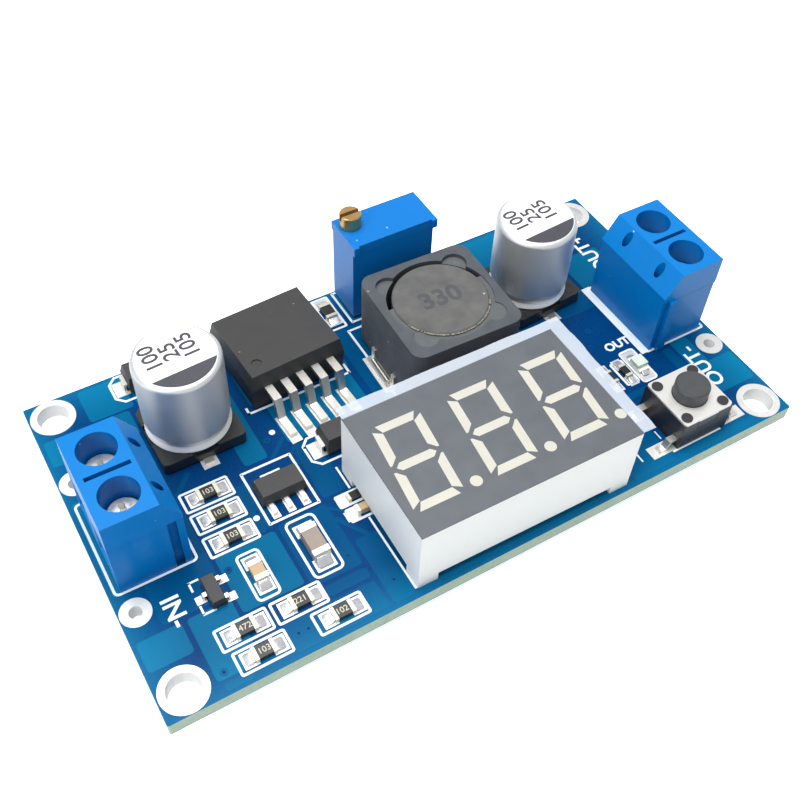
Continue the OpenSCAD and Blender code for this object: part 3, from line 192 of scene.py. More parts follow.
def speck_group():
    """Sparse small specks of dust over a colour, and their mask."""
    group, source, result = make_group(
        "dust_specks",
        [("Colour", "Color", (0.5, 0.5, 0.5, 1)), ("Dust Colour", "Color", (0.8, 0.8, 0.8, 1)),
         ("Scale", "Float", 900.0), ("Size", "Float", 0.1), ("Share", "Float", 0.62)],
        [("Colour", "Color"), ("Mask", "Float")])
    place = object_place(group)
    cells = group.nodes.new("ShaderNodeTexVoronoi")
    group.links.new(place, cells.inputs["Vector"])
    group.links.new(source.outputs["Scale"], cells.inputs["Scale"])
    near = math_node(group, "LESS_THAN", cells.outputs["Distance"], source.outputs["Size"])
    patch = noise_node(group, place, 350)
    chosen = math_node(group, "GREATER_THAN", patch, source.outputs["Share"])
    mask = math_node(group, "MULTIPLY", near, chosen)
    colour = mix_colours(group, mask, source.outputs["Colour"], source.outputs["Dust Colour"])
    group.links.new(colour, result.inputs["Colour"])
    group.links.new(mask, result.inputs["Mask"])
    return group


def streak_group():
    """Fine scratches along one axis, as on drawn or rolled metal."""
    group, source, result = make_group(
        "streaks",
        [("Stretch", "Vector", (3000.0, 3000.0, 120.0)), ("Roughness", "Float", 0.3),
         ("Roughness Spread", "Float", 0.15)],
        [("Roughness", "Float"), ("Height", "Float")])
    stretch = group.nodes.new("ShaderNodeVectorMath")
    stretch.operation = "MULTIPLY"
    group.links.new(object_place(group), stretch.inputs[0])
    group.links.new(source.outputs["Stretch"], stretch.inputs[1])
    scratches = noise_node(group, stretch.outputs[0], 1.0, detail=3)
    group.links.new(uneven_roughness(group, source, scratches), result.inputs["Roughness"])
    group.links.new(scratches, result.inputs["Height"])
    return group


def edge_sheen_group():
    """Lighter colour near the board's edges: a painted sheen for the reflection that the glossy
    mask shows at grazing angles.
    """
    group, source, result = make_group(
        "board_edge_painted_sheen",
        [("Colour", "Color", (0.5, 0.5, 0.5, 1)), ("Rim Colour", "Color", (0.8, 0.8, 0.8, 1)),
         ("Half Length", "Float", 0.03), ("Half Width", "Float", 0.02), ("Reach", "Float", 0.003),
         ("Amount", "Float", 0.5)],
        [("Colour", "Color"), ("Mask", "Float")])
    axes = axes_of(group, object_place(group))
    across = math_node(group, "ABSOLUTE", axes["X"])
    across = math_node(group, "SUBTRACT", source.outputs["Half Length"], across)
    along = math_node(group, "ABSOLUTE", axes["Y"])
    along = math_node(group, "SUBTRACT", source.outputs["Half Width"], along)
    near = math_node(group, "MINIMUM", across, along)
    near = math_node(group, "DIVIDE", near, source.outputs["Reach"], clamp=True)
    near = math_node(group, "SUBTRACT", 1.0, near)
    near = math_node(group, "POWER", near, 1.6)
    mask = math_node(group, "MULTIPLY", near, source.outputs["Amount"])
    colour = mix_colours(group, mask, source.outputs["Colour"], source.outputs["Rim Colour"])
    group.links.new(colour, result.inputs["Colour"])
    group.links.new(mask, result.inputs["Mask"])
    return group


MOTTLE = mottle_group()
SPECKS = speck_group()
STREAKS = streak_group()
EDGE_SHEEN = edge_sheen_group()


class Finish:
    """A Principled material and the nodes that feed it."""

    def __init__(self, name, **sockets):
        self.material = bpy.data.materials.new(name)
        self.material.use_nodes = True
        self.tree = self.material.node_tree
        self.shader = self.tree.nodes["Principled BSDF"]
        for label, value in sockets.items():
            self.shader.inputs[label.replace("_", " ")].default_value = value

    def group(self, group, **values):
        node = self.tree.nodes.new("ShaderNodeGroup")
        node.node_tree = group
        for label, value in values.items():
            node.inputs[label.replace("_", " ")].default_value = value
        return node

    def link(self, output, label):
        self.tree.links.new(output, self.shader.inputs[label])

    def bump(self, height, depth, strength=1.0):
        node = self.tree.nodes.new("ShaderNodeBump")
        node.inputs["Distance"].default_value = depth
        node.inputs["Strength"].default_value = strength
        self.tree.links.new(height, node.inputs["Height"])
        self.link(node.outputs["Normal"], "Normal")

    def mottle(self, colour, second, blotch=300.0, grain=4000.0, rough=0.5, spread=0.1, depth=0.0,
               dust=None):
        node = self.group(MOTTLE, Colour=colour, Second_Colour=second, Blotch_Scale=blotch,
                          Grain_Scale=grain, Roughness=rough, Roughness_Spread=spread)
        self.link(node.outputs["Roughness"], "Roughness")
        if depth:
            self.bump(node.outputs["Grain"], depth)
        if dust:
            specks = self.group(SPECKS, Dust_Colour=dust)
            self.tree.links.new(node.outputs["Colour"], specks.inputs["Colour"])
            self.link(specks.outputs["Colour"], "Base Color")
        else:
            self.link(node.outputs["Colour"], "Base Color")
        return self

    def rim(self, output):
        """Colour output lightened near the edges of the board, a painted sheen for the mask's
        reflection at grazing angles.
        """
        node = self.group(EDGE_SHEEN, Rim_Colour=tone(24, 146, 190), Half_Length=BOARD_L * MM / 2,
                          Half_Width=BOARD_W * MM / 2, Reach=5.0 * MM, Amount=0.3)
        self.tree.links.new(output, node.inputs["Colour"])
        return node.outputs["Colour"]

    def streaks(self, stretch, rough, spread, depth):
        node = self.group(STREAKS, Stretch=stretch, Roughness=rough, Roughness_Spread=spread)
        self.link(node.outputs["Roughness"], "Roughness")
        if depth:
            self.bump(node.outputs["Height"], depth)
        return self


def plastic(name, colour, second, **kwargs):
    return Finish(name).mottle(colour, second, **kwargs).material


def metal(name, colour, second, **kwargs):
    return Finish(name, Metallic=1.0).mottle(colour, second, **kwargs).material


def dress(material, *nodes):
    """Gives CAD nodes their finish."""
    for node in nodes:
        mesh = NODES[node].data
        if not mesh.materials:
            mesh.materials.append(material)
        for slot in range(len(mesh.materials)):
            mesh.materials[slot] = material


# ---------- finishes ----------

MASK_SPECULAR = 0.05
MASK_GRAIN = 0.002 * MM
# Top of the cans' rolled lip over the board, and depth of the switch cover's flat plate
LIP_TOP = 2.1 * MM
COVER_PLATE = 0.34 * MM
# The large ceramic capacitor's place, in millimetres from the board's front left corner, and a
# distance to either side that holds it but not the other two
LARGE_CHIP = (17.5, 8.9)
LARGE_CHIP_REACH = 2.0 * MM


def board_finish():
    """Solder mask on the flat faces, cut glass laminate on the board's edges."""
    board = Finish("solder_mask_bare", Specular_IOR_Level=MASK_SPECULAR)
    mask = board.group(MOTTLE, Colour=tone(2, 58, 110), Second_Colour=tone(0, 51, 101),
                       Blotch_Scale=260.0, Grain_Scale=2600.0, Roughness=0.28,
                       Roughness_Spread=0.08)
    edge = board.group(MOTTLE, Colour=tone(166, 184, 166), Second_Colour=tone(140, 164, 150),
                       Blotch_Scale=700.0, Grain_Scale=7000.0, Roughness=0.7,
                       Roughness_Spread=0.1)
    surface = board.tree.nodes.new("ShaderNodeNewGeometry")
    axes = axes_of(board.tree, surface.outputs["True Normal"])
    level = math_node(board.tree, "ABSOLUTE", axes["Z"])
    flat = math_node(board.tree, "GREATER_THAN", level, 0.5)
    # The flat faces' mask colour carries the painted edge sheen.
    colour = mix_colours(board.tree, flat, edge.outputs["Colour"],
                         board.rim(mask.outputs["Colour"]))
    board.link(colour, "Base Color")
    board.link(mask.outputs["Roughness"], "Roughness")
    board.bump(mask.outputs["Grain"], MASK_GRAIN)
    return board.material


def copper_finish(name, colour, second):
    """Solder mask over copper, a little lighter than over bare laminate."""
    finish = Finish(name, Specular_IOR_Level=MASK_SPECULAR)
    mask = finish.group(MOTTLE, Colour=colour, Second_Colour=second, Blotch_Scale=220.0,
                        Grain_Scale=2600.0, Roughness=0.26, Roughness_Spread=0.08)
    # The painted edge sheen lightens this mask too near the board's edges.
    finish.link(finish.rim(mask.outputs["Colour"]), "Base Color")
    finish.link(mask.outputs["Roughness"], "Roughness")
    finish.bump(mask.outputs["Grain"], MASK_GRAIN)
    return finish.material


def can_finish():
    """Satin aluminium; the rolled lip at the foot is painted whiter and less mirror-like, a painted
    highlight for the bright sky that its curve reflects.
    """
    can = Finish("can_aluminium").streaks((500.0, 500.0, 3000.0), 0.45, 0.1, 0.0004 * MM)
    axes = axes_of(can.tree, object_place(can.tree))
    # Painted highlight: below the lip's top the can turns whiter and nearly matt, standing for the
    # sky reflected in the lip's curve.
    lip = math_node(can.tree, "LESS_THAN", axes["Z"], BOARD_TOP + LIP_TOP)
    can.link(mix_colours(can.tree, lip, tone(206, 209, 211), tone(246, 246, 246)), "Base Color")
    # Metallic 0.8 on the wall and 0.15 on the lip
    can.link(math_node(can.tree, "MULTIPLY_ADD", lip, -0.65, 0.8), "Metallic")
    return can.material


def cover_finish():
    """Rolled plate; its folded tabs below the plate are painted dark like the black base, a painted
    shade that makes them read as the shaded front of the switch.
    """
    cover = Finish("switch_cover").streaks((200.0, 3500.0, 3500.0), 0.36, 0.15, 0.0006 * MM)
    axes = axes_of(cover.tree, object_place(cover.tree))
    plate = math_node(cover.tree, "GREATER_THAN", axes["Z"],
                      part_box("switch_cover")[1][2] - COVER_PLATE)
    # Painted shade: below the plate the cover takes the black of the switch's shaded front.
    cover.link(mix_colours(cover.tree, plate, tone(42, 43, 45), tone(224, 223, 219)), "Base Color")
    cover.link(math_node(cover.tree, "MULTIPLY", plate, 0.6), "Metallic")
    return cover.material


def ceramic_finish():
    """Tan ceramic, greyer on the large capacitor."""
    ceramic = Finish("capacitor_ceramic")
    tree = ceramic.tree
    surface = {"Blotch_Scale": 900.0, "Grain_Scale": 5000.0, "Roughness": 0.42}
    tan = ceramic.group(MOTTLE, Colour=tone(184, 160, 122), Second_Colour=tone(168, 144, 108),
                        **surface)
    grey = ceramic.group(MOTTLE, Colour=tone(144, 130, 120), Second_Colour=tone(128, 115, 107),
                         **surface)
    away = math_node(tree, "SUBTRACT", axes_of(tree, object_place(tree))["X"],
                     on_board(*LARGE_CHIP).x)
    away = math_node(tree, "ABSOLUTE", away)
    large = math_node(tree, "LESS_THAN", away, LARGE_CHIP_REACH)
    colour = mix_colours(tree, large, tan.outputs["Colour"], grey.outputs["Colour"])
    ceramic.link(colour, "Base Color")
    ceramic.link(tan.outputs["Roughness"], "Roughness")
    ceramic.bump(tan.outputs["Grain"], 0.003 * MM)
    return ceramic.material


mask_dark = board_finish()
mask_light = copper_finish("solder_mask_on_copper", tone(4, 94, 134), tone(0, 86, 125))
mask_mid = copper_finish("solder_mask_on_trace", tone(0, 72, 118), tone(0, 65, 108))
via_dark = Finish("via_hole", Specular_IOR_Level=0.1).mottle(
    tone(0, 46, 92), tone(0, 40, 84), rough=0.6).material
legend_white = plastic("legend_white", tone(224, 229, 232), tone(211, 219, 224), blotch=900,
                       grain=6000, rough=0.55)
tin = Finish("tinned_pads", Metallic=0.55).mottle(
    tone(232, 231, 228), tone(202, 202, 200), blotch=1500, grain=5000, rough=0.4, spread=0.25,
    depth=0.004 * MM).material
solder = Finish("solder", Metallic=0.6).mottle(
    tone(212, 213, 215), tone(172, 174, 178), blotch=1200, grain=3500, rough=0.3, spread=0.3,
    depth=0.012 * MM).material
lead_metal = metal("tinned_leads", tone(236, 234, 226), tone(214, 212, 204), blotch=900,
                   grain=6000, rough=0.34, spread=0.2, depth=0.002 * MM)
terminal_blue = Finish("terminal_blue", Specular_IOR_Level=0.22).mottle(
    tone(0, 117, 192), tone(0, 108, 182), blotch=150, grain=1800, rough=0.32, spread=0.1,
    depth=0.002 * MM, dust=tone(150, 200, 240)).material
# Darker blue for the strip painted as the shadow under the output terminal's step
step_shadow_blue = plastic("step_shadow_blue", tone(2, 70, 140), tone(0, 60, 128), rough=0.5)
trimmer_blue = Finish("trimmer_blue", Specular_IOR_Level=0.25).mottle(
    tone(0, 112, 190), tone(0, 103, 180), blotch=200, grain=2200, rough=0.36,
    depth=0.003 * MM, dust=tone(120, 170, 215)).material
screw_steel = metal("screw_steel", tone(240, 238, 232), tone(214, 212, 206), blotch=1400,
                    grain=2400, rough=0.34, spread=0.3, depth=0.004 * MM)
hole_lining = Finish("hole_lining", Metallic=0.15).mottle(
    tone(230, 230, 228), tone(212, 213, 212), blotch=900, grain=5000, rough=0.45).material
can_metal = can_finish()
can_print = plastic("can_print_white", tone(250, 250, 252), tone(244, 244, 248), blotch=500,
                    grain=5000, rough=0.45)
print_black = Finish("print_black").mottle(
    tone(52, 52, 62), tone(64, 64, 72), blotch=900, grain=5000, rough=0.5,
    dust=tone(200, 200, 205)).material
base_black = Finish("base_black").mottle(
    tone(40, 42, 42), tone(32, 34, 34), blotch=400, grain=2500, rough=0.34, spread=0.12,
    depth=0.003 * MM, dust=tone(110, 112, 110)).material
ferrite = Finish("ferrite_shield", Specular_IOR_Level=0.3).mottle(
    tone(84, 89, 95), tone(60, 64, 69), blotch=520, grain=2600, rough=0.6, spread=0.25,
    depth=0.014 * MM, dust=tone(160, 158, 152)).material
drum_ferrite = Finish("ferrite_drum", Specular_IOR_Level=0.3).mottle(
    tone(106, 106, 104), tone(66, 67, 68), blotch=620, grain=3200, rough=0.64, spread=0.2,
    depth=0.012 * MM, dust=tone(170, 166, 156)).material
adhesive = plastic("adhesive", tone(96, 100, 102), tone(78, 82, 84), blotch=900, grain=3000,
                   rough=0.24, depth=0.01 * MM)
crumbs = plastic("adhesive_crumbs", tone(150, 144, 128), tone(98, 96, 90), blotch=2600,
                 grain=5000, rough=0.5, depth=0.03 * MM)
copper_wire = metal("enamelled_copper", tone(186, 104, 60), tone(160, 84, 48), blotch=1500,
                    grain=6000, rough=0.35)
epoxy = Finish("moulded_epoxy", Specular_IOR_Level=0.5).mottle(
    tone(49, 49, 50), tone(39, 39, 40), blotch=500, grain=6500, rough=0.5, spread=0.2,
    depth=0.006 * MM, dust=tone(120, 118, 112)).material
chip_black = Finish("resistor_glaze", Specular_IOR_Level=0.35).mottle(
    tone(48, 48, 46), tone(38, 38, 37), blotch=1500, grain=5000, rough=0.3, spread=0.1).material
electrode = Finish("resistor_electrode", Metallic=0.3).mottle(
    tone(216, 212, 194), tone(198, 194, 176), blotch=2200, grain=5000, rough=0.35,
    spread=0.15).material
chip_print = plastic("chip_print", tone(196, 192, 172), tone(176, 172, 152), rough=0.5)
chip_tan = ceramic_finish()
resin = plastic("cast_resin", tone(206, 190, 140), tone(190, 172, 124), rough=0.4)
brass = metal("brass_screw", tone(212, 180, 124), tone(176, 142, 92), blotch=1300, grain=3500,
              rough=0.34, spread=0.25, depth=0.006 * MM)
housing_white = Finish("display_housing_white", Subsurface_Weight=0.1).mottle(
    tone(233, 233, 230), tone(226, 227, 225), blotch=180, grain=2400, rough=0.38, spread=0.1,
    depth=0.002 * MM).material
face_grey = plastic("display_face_grey", tone(75, 79, 86), tone(70, 74, 80), blotch=200,
                    grain=4000, rough=0.5)
segment_cream = plastic("segment_epoxy", tone(194, 192, 180), tone(184, 182, 169), blotch=700,
                        grain=5000, rough=0.42)
light_chip = plastic("light_chip", tone(190, 70, 50), tone(170, 60, 44), rough=0.4)
laminate_green = plastic("display_laminate", tone(60, 130, 80), tone(50, 118, 70), rough=0.6)
switch_black = plastic("switch_black", tone(42, 43, 45), tone(34, 35, 37), blotch=300, grain=2800,
                       rough=0.4, depth=0.003 * MM)
plunger_grey = plastic("plunger_grey", tone(66, 69, 72), tone(48, 50, 53), blotch=900, grain=4500,
                       rough=0.5, depth=0.006 * MM)
cover_metal = cover_finish()
led_white = plastic("light_base", tone(244, 244, 238), tone(228, 234, 224), rough=0.5)
led_clear = Finish("light_lens", Transmission_Weight=0.25, IOR=1.5).mottle(
    tone(250, 250, 244), tone(206, 236, 206), blotch=2600, grain=4000, rough=0.1,
    depth=0.02 * MM).material

dress(mask_dark, "circuit_board")
dress(tin, "tinned_pads")
dress(solder, "solder_joints")
dress(terminal_blue, "input_terminal_housing", "output_terminal_housing")
dress(lead_metal, "input_terminal_cages", "output_terminal_cages", "input_capacitor_leads",
      "output_capacitor_leads", "inductor_clips", "regulator_leads", "diode_leads", "switch_legs",
      "small_regulator_leads", "transistor_leads", "controller_leads", "trimmer_pins",
      "display_pins", "chip_capacitor_caps", "switch_dome")
dress(electrode, "chip_resistor_caps")
for side in ("input", "output"):
    for pole in ("front", "back"):
        dress(screw_steel, f"{side}_{pole}_screw", f"{side}_{pole}_leaf")
dress(can_metal, "input_capacitor_can", "output_capacitor_can")
dress(base_black, "input_capacitor_base", "output_capacitor_base")
dress(ferrite, "inductor_shield")
dress(drum_ferrite, "inductor_core")
dress(copper_wire, "inductor_winding")
dress(adhesive, "inductor_adhesive")
dress(epoxy, "regulator_body", "diode_bodies", "small_regulator_body", "transistor_body",
      "controller_body")
dress(trimmer_blue, "trimmer_housing")
dress(resin, "trimmer_base")
dress(brass, "trimmer_screw")
dress(housing_white, "display_housing")
dress(face_grey, "display_face")
dress(segment_cream, "display_segments")
dress(light_chip, "display_chips")
dress(laminate_green, "display_board")
dress(switch_black, "switch_base")
dress(cover_metal, "switch_cover")
dress(plunger_grey, "switch_plunger")
dress(chip_black, "chip_resistor_bodies")
dress(chip_tan, "chip_capacitor_bodies")
dress(led_white, "led_base")
dress(led_clear, "led_lens")

# ---------- modelling ------------------


def start_piece(name):
    """Empty mesh piece, opened in edit mode."""
    bpy.ops.object.select_all(action="DESELECT")
    bpy.ops.object.add(type="MESH", location=(0, 0, 0))
    piece = bpy.context.object
    piece.name = name
    piece.data.name = name
    bpy.ops.object.mode_set(mode="EDIT")
    return piece


def edit_mesh():
    return bmesh.from_edit_mesh(bpy.context.object.data)


def give(piece, material):
    """Gives a piece its finish and its slot, and lets it ride on the module."""
    piece.data.materials.clear()
    piece.data.materials.append(material)
    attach(piece, "module")


def set_down(piece, place, turn, size=1.0):
    """Sets a piece in its place, turned by so many degrees."""
    piece.location = place
    piece.rotation_euler = (0, 0, math.radians(turn))
    piece.scale = (size, size, size)
    bpy.ops.object.transform_apply(location=True, rotation=True, scale=True)


def end_piece(piece, material, place=None, turn=0.0, smooth=None):
    """Closes the piece's mesh, sets it in its place and gives it its finish."""
    bpy.ops.mesh.select_all(action="SELECT")
    bpy.ops.mesh.normals_make_consistent(inside=False)
    bpy.ops.object.mode_set(mode="OBJECT")
    bpy.ops.object.select_all(action="DESELECT")
    piece.select_set(True)
    bpy.context.view_layer.objects.active = piece
    if place is not None:
        set_down(piece, place, turn)
    if smooth is not None:
        bpy.ops.object.shade_smooth_by_angle(angle=math.radians(smooth))
    give(piece, material)


def raise_selected(height):
    """Extrudes the selected faces upwards."""
    bpy.ops.mesh.extrude_region_move(TRANSFORM_OT_translate={"value": (0, 0, height)})


def add_flat(centre, length, width, corner=0.0, steps=4):
    """Selected flat rectangle in the open mesh, with round corners if corner is given."""
    bpy.ops.mesh.select_all(action="DESELECT")
    bpy.ops.mesh.primitive_plane_add(size=1, location=centre)
    bpy.ops.transform.resize(value=(length, width, 1), center_override=centre)
    if corner > 0:
        bpy.ops.mesh.bevel(offset=corner, segments=steps, affect="VERTICES")


def add_plate(centre, length, width, height, corner=0.0):
    """Flat plate in the open mesh, its underside centred on centre. All in metres."""
    add_flat(centre, length, width, corner)
    raise_selected(height)


def add_round(centre, radius, sides=24):
    """Selected flat disc in the open mesh."""
    bpy.ops.mesh.select_all(action="DESELECT")
    bpy.ops.mesh.primitive_circle_add(vertices=sides, radius=radius, fill_type="NGON",
                                      location=centre)


def add_disc(centre, radius, height, sides=24):
    """Flat round plate in the open mesh."""
    add_round(centre, radius, sides)
    raise_selected(height)


def raise_rim(faces_before, line, height):
    """Cuts the middle out of the newest face and raises the rim that is left."""
    bpy.ops.mesh.inset(thickness=line, depth=0)
    bpy.ops.mesh.delete(type="FACE")
    mesh = edit_mesh()
    mesh.faces.ensure_lookup_table()
    for face in mesh.faces[faces_before:]:
        face.select_set(True)
    bmesh.update_edit_mesh(bpy.context.object.data)
    raise_selected(height)


def add_outline(centre, length, width, height, corner=0.0, steps=4):
    """Raised rectangular line in the open mesh."""
    faces_before = len(edit_mesh().faces)
    add_flat(centre, length, width, corner, steps)
    raise_rim(faces_before, LINE_W, height)


def add_ring(centre, radius, line, height, sides):
    """Raised ring in the open mesh."""
    faces_before = len(edit_mesh().faces)
    add_round(centre, radius, sides)
    raise_rim(faces_before, line, height)


def span(x0, x1, y0, y1):
    """Centre on the board and size, in metres, of a rectangle given by its edges in millimetres."""
    return on_board((x0 + x1) / 2, (y0 + y1) / 2), (x1 - x0) * MM, (y1 - y0) * MM


def lettering(name, words, size, place, turn, material, height=LEGEND_H, bold=BOLD):
    """Raised letters, read along the turned X axis and centred on place."""
    bpy.ops.object.select_all(action="DESELECT")
    bpy.ops.object.text_add(location=(0, 0, 0))
    piece = bpy.context.object
    piece.name = name
    piece.data.body = words
    piece.data.align_x = "CENTER"
    piece.data.align_y = "CENTER"
    piece.data.extrude = height / size
    piece.data.offset = bold
    piece.data.resolution_u = 4
    bpy.ops.object.convert(target="MESH")
    set_down(piece, place, turn, size)
    give(piece, material)


# ---------- copper under the solder mask ----------

# Edges x0, x1, y0, y1 of the copper areas, in millimetres from the board's front left corner
LIGHT_COPPER = [
    (9.3, 15.1, 6.0, 12.1), (4.9, 8.9, 1.4, 7.8), (0.4, 4.4, 4.8, 7.8), (0.4, 2.6, 12.6, 23.4),
    (0.4, 8.9, 28.0, 31.2), (5.2, 9.6, 31.4, 35.6), (9.9, 18.9, 30.9, 35.6),
    (19.3, 30.2, 25.8, 35.6), (33.4, 46.8, 31.1, 35.6), (47.2, 57.4, 27.4, 35.6),
    (57.8, 61.2, 28.8, 35.6), (57.8, 62.9, 19.8, 28.2), (60.8, 62.9, 8.7, 19.3),
    (60.8, 65.7, 4.8, 8.7), (63.3, 65.7, 12.6, 23.4),
    (15.8, 18.2, 19.6, 30.4), (20.6, 28.4, 20.1, 25.3), (28.7, 29.8, 19.2, 25.4)
]
MID_COPPER = [
    (3.0, 8.9, 8.2, 27.4), (15.5, 20.4, 5.3, 12.4), (20.8, 23.0, 0.5, 7.7), (9.3, 15.4, 12.5, 18.0),
    (20.5, 22.9, 12.9, 19.7), (11.6, 20.4, 0.5, 3.4), (16.2, 20.4, 3.8, 4.9),
    (23.4, 46.4, 0.5, 15.6), (46.8, 51.8, 0.5, 9.4), (47.6, 52.6, 10.2, 26.9),
    (53.0, 57.4, 20.6, 26.9), (30.6, 46.8, 16.2, 30.7), (52.2, 61.9, 0.3, 1.1),
    (59.4, 60.5, 5.2, 12.2), (52.4, 59.2, 8.4, 9.2), (5.2, 7.8, 0.3, 1.1)
]
# Slanting tracks: start, end and width
TRACKS = [
    ((13.3, 12.3), (16.0, 16.6), 0.5), ((14.2, 12.3), (16.0, 14.9), 0.35),
    ((20.4, 10.6), (23.0, 6.4), 0.5), ((20.4, 11.8), (24.0, 9.0), 0.4),
    ((47.0, 9.8), (52.4, 14.4), 0.5), ((47.0, 8.9), (52.4, 13.3), 0.35),
    ((9.0, 19.6), (11.0, 21.6), 0.5), ((18.4, 19.2), (20.4, 21.0), 0.45)
]
# Plated holes that join the two sides, and the radii of their rims and of the holes
VIAS = [
    (5.7, 2.0), (12.5, 2.1), (13.4, 2.1), (20.5, 17.7), (21.1, 18.3), (21.6, 18.9), (20.6, 19.0),
    (18.9, 21.4), (9.9, 10.4), (14.6, 14.6), (19.6, 6.6), (21.9, 2.6), (49.6, 17.2), (50.6, 18.8),
    (54.4, 18.0), (61.0, 14.0), (47.9, 33.4), (31.4, 22.6)
]
VIA_RIM = 0.36 * MM
VIA_HOLE = 0.13 * MM
# Corner radius of the copper areas
POUR_CORNER = 0.35 * MM
# Screw holes and wire holes: distance from the board's ends and from its sides, and radius
HOLE_SETS = [(2.3, 2.2, 1.55), (1.5, 10.5, 0.65)]
# The holes' lining: its wall, and how far it goes into the board and stands out of its faces
LINING_WALL = 0.08 * MM
LINING_INTO = 0.03 * MM
LINING_OUT = 0.04 * MM


def add_track(start, end, width, height):
    """Slanting strip from start to end."""
    first, last = on_board(*start), on_board(*end)
    centre = (first + last) / 2
    run = last - first
    add_flat(centre, run.length, width * MM, corner=width * MM * 0.4)
    bpy.ops.transform.rotate(value=-math.atan2(run.y, run.x), orient_axis="Z",
                             center_override=centre)
    raise_selected(height)


def build_copper():
    """Copper areas and tracks, each set a little higher than what it crosses."""
    piece = start_piece("copper_areas")
    for edges in LIGHT_COPPER:
        add_plate(*span(*edges), POUR_H, corner=POUR_CORNER)
    end_piece(piece, mask_light)
    piece = start_piece("copper_tracks")
    for edges in MID_COPPER:
        add_plate(*span(*edges), POUR_H * 0.8, corner=POUR_CORNER)
    for index, (start, end, width) in enumerate(TRACKS):
        add_track(start, end, width, POUR_H * (1.1 + 0.04 * index))
    for x, y in VIAS:
        add_disc(on_board(x, y), VIA_RIM, POUR_H * 1.6, sides=16)
    end_piece(piece, mask_mid)
    piece = start_piece("via_holes")
    for x, y in VIAS:
        add_disc(on_board(x, y), VIA_HOLE, POUR_H * 1.9, sides=10)
    end_piece(piece, via_dark)


def build_barrels():
    """Tinned linings of the screw holes and wire holes."""
    piece = start_piece("plated_holes")
    depth = board_high[2] - board_low[2]
    for from_end, from_side, radius in HOLE_SETS:
        for x in (from_end, BOARD_L - from_end):
            for y in (from_side, BOARD_W - from_side):
                centre = on_board(x, y)
                centre.z = board_low[2] - LINING_OUT
                add_ring(centre, radius * MM + LINING_INTO, LINING_WALL,
                         depth + 2 * LINING_OUT, sides=40)
    end_piece(piece, hole_lining, smooth=30)


# ---------- printed legend ----------

# Centres of the frames round the small resistors. The chips sit a little to the right in them.
CHIP_BOXES = [
    (11.47, 18.5), (11.47, 15.9), (11.47, 13.2), (8.7, 4.6), (13.8, 4.6), (9.2, 2.0), (16.4, 2.0)
]
CHIP_SHIFT = 0.13
CHIP_FRAME_L = 4.85 * MM
CHIP_FRAME_W = 2.35 * MM
CHIP_FRAME_CORNER = 0.25 * MM
# Frames with round corners: edges x0, x1, y0, y1 and corner radius
FRAMES = [
    ((30.8, 32.8, 30.8, 35.7), 0.2), ((10.8, 13.1, 6.2, 11.3), 0.5),
    ((16.0, 19.0, 5.75, 12.25), 0.6), ((14.95, 20.15, 12.7, 19.1), 0.1),
    ((21.3, 25.0, 11.1, 12.6), 0.2), ((21.5, 25.0, 9.3, 10.9), 0.2),
    ((53.4, 55.0, 10.0, 13.2), 0.2), ((55.1, 57.0, 9.5, 14.0), 0.4),
    ((32.3, 45.6, 17.0, 30.2), 0.1), ((33.3, 43.5, 30.9, 35.8), 0.1),
    ((0.5, 8.2, 12.6, 23.2), 0.5), ((57.9, 65.6, 12.6, 23.2), 0.3)
]
# Frames with cut corners, round the two diodes
CUT_FRAMES = [(21.4, 29.0, 16.3, 19.9), (8.2, 15.6, 32.2, 35.8)]
CUT_CORNER = 0.8 * MM
STROKES = [
    (18.7, 29.9, 25.0, 25.25), (18.7, 18.95, 25.0, 25.9), (29.7, 29.95, 25.0, 26.4),
    (52.0, 52.12, 3.2, 4.2), (52.1, 58.0, 1.3, 1.5), (23.05, 23.25, 0.9, 9.2),
    (23.05, 23.25, 12.8, 15.5), (6.3, 7.3, 10.75, 10.95), (6.3, 6.5, 9.9, 10.9),
    (6.3, 7.5, 7.4, 7.6), (6.3, 6.5, 7.5, 8.4), (8.6, 9.1, 10.0, 10.2)
]
# Broad white strip along the inner side of the output terminal
STRIP = (57.4, 58.5, 12.7, 23.3)
DOTS = [(19.75, 22.05), (14.3, 14.0)]
DOT_RADIUS = 0.3 * MM
# Piece, words, size, place, turn and weight
WORDS = [
    ("legend_in", "IN-", 2.3, (4.3, 9.0), -90, BOLD),
    ("legend_out_front", "OUT-", 2.3, (61.95, 8.5), 90, BOLD),
    ("legend_out_back", "OUT+", 2.3, (61.8, 27.6), 90, BOLD),
    ("legend_light", "OUT", 1.4, (55.95, 15.05), 0, 0.035),
    ("legend_switch", "1", 1.3, (48.8, 2.3), 0, BOLD)
]


def build_legend():
    """White frames, strokes, dots and words printed on the board."""
    piece = start_piece("legend_outlines")
    for x, y in CHIP_BOXES:
        add_outline(on_board(x, y), CHIP_FRAME_L, CHIP_FRAME_W, LEGEND_H,
                    corner=CHIP_FRAME_CORNER)
    for edges, corner in FRAMES:
        add_outline(*span(*edges), LEGEND_H, corner=corner * MM)
    for edges in CUT_FRAMES:
        add_outline(*span(*edges), LEGEND_H, corner=CUT_CORNER, steps=1)
    for edges in STROKES:
        add_plate(*span(*edges), LEGEND_H)
    add_plate(*span(*STRIP), LEGEND_H * 1.15)
    for x, y in DOTS:
        add_disc(on_board(x, y), DOT_RADIUS, LEGEND_H)
    end_piece(piece, legend_white)
    for name, words, size, place, turn, bold in WORDS:
        lettering(name, words, size * MM, on_board(*place), turn, legend_white,
                  bold=bold)


# ---------- printed tops ----------

# Heights of the white print and of the dark segment on it, and the print's distance from the edge
CAN_PRINT_H = 0.012 * MM
CAN_SEGMENT_H = 0.01 * MM
CAN_PRINT_INSET = 0.42 * MM
# Distance of the segment's straight edge from the can's middle
SEGMENT_CHORD = 1.75 * MM

inductor_ink = plastic("inductor_ink", tone(78, 80, 84), tone(64, 66, 70), blotch=1200,
                       grain=3000, rough=0.3)


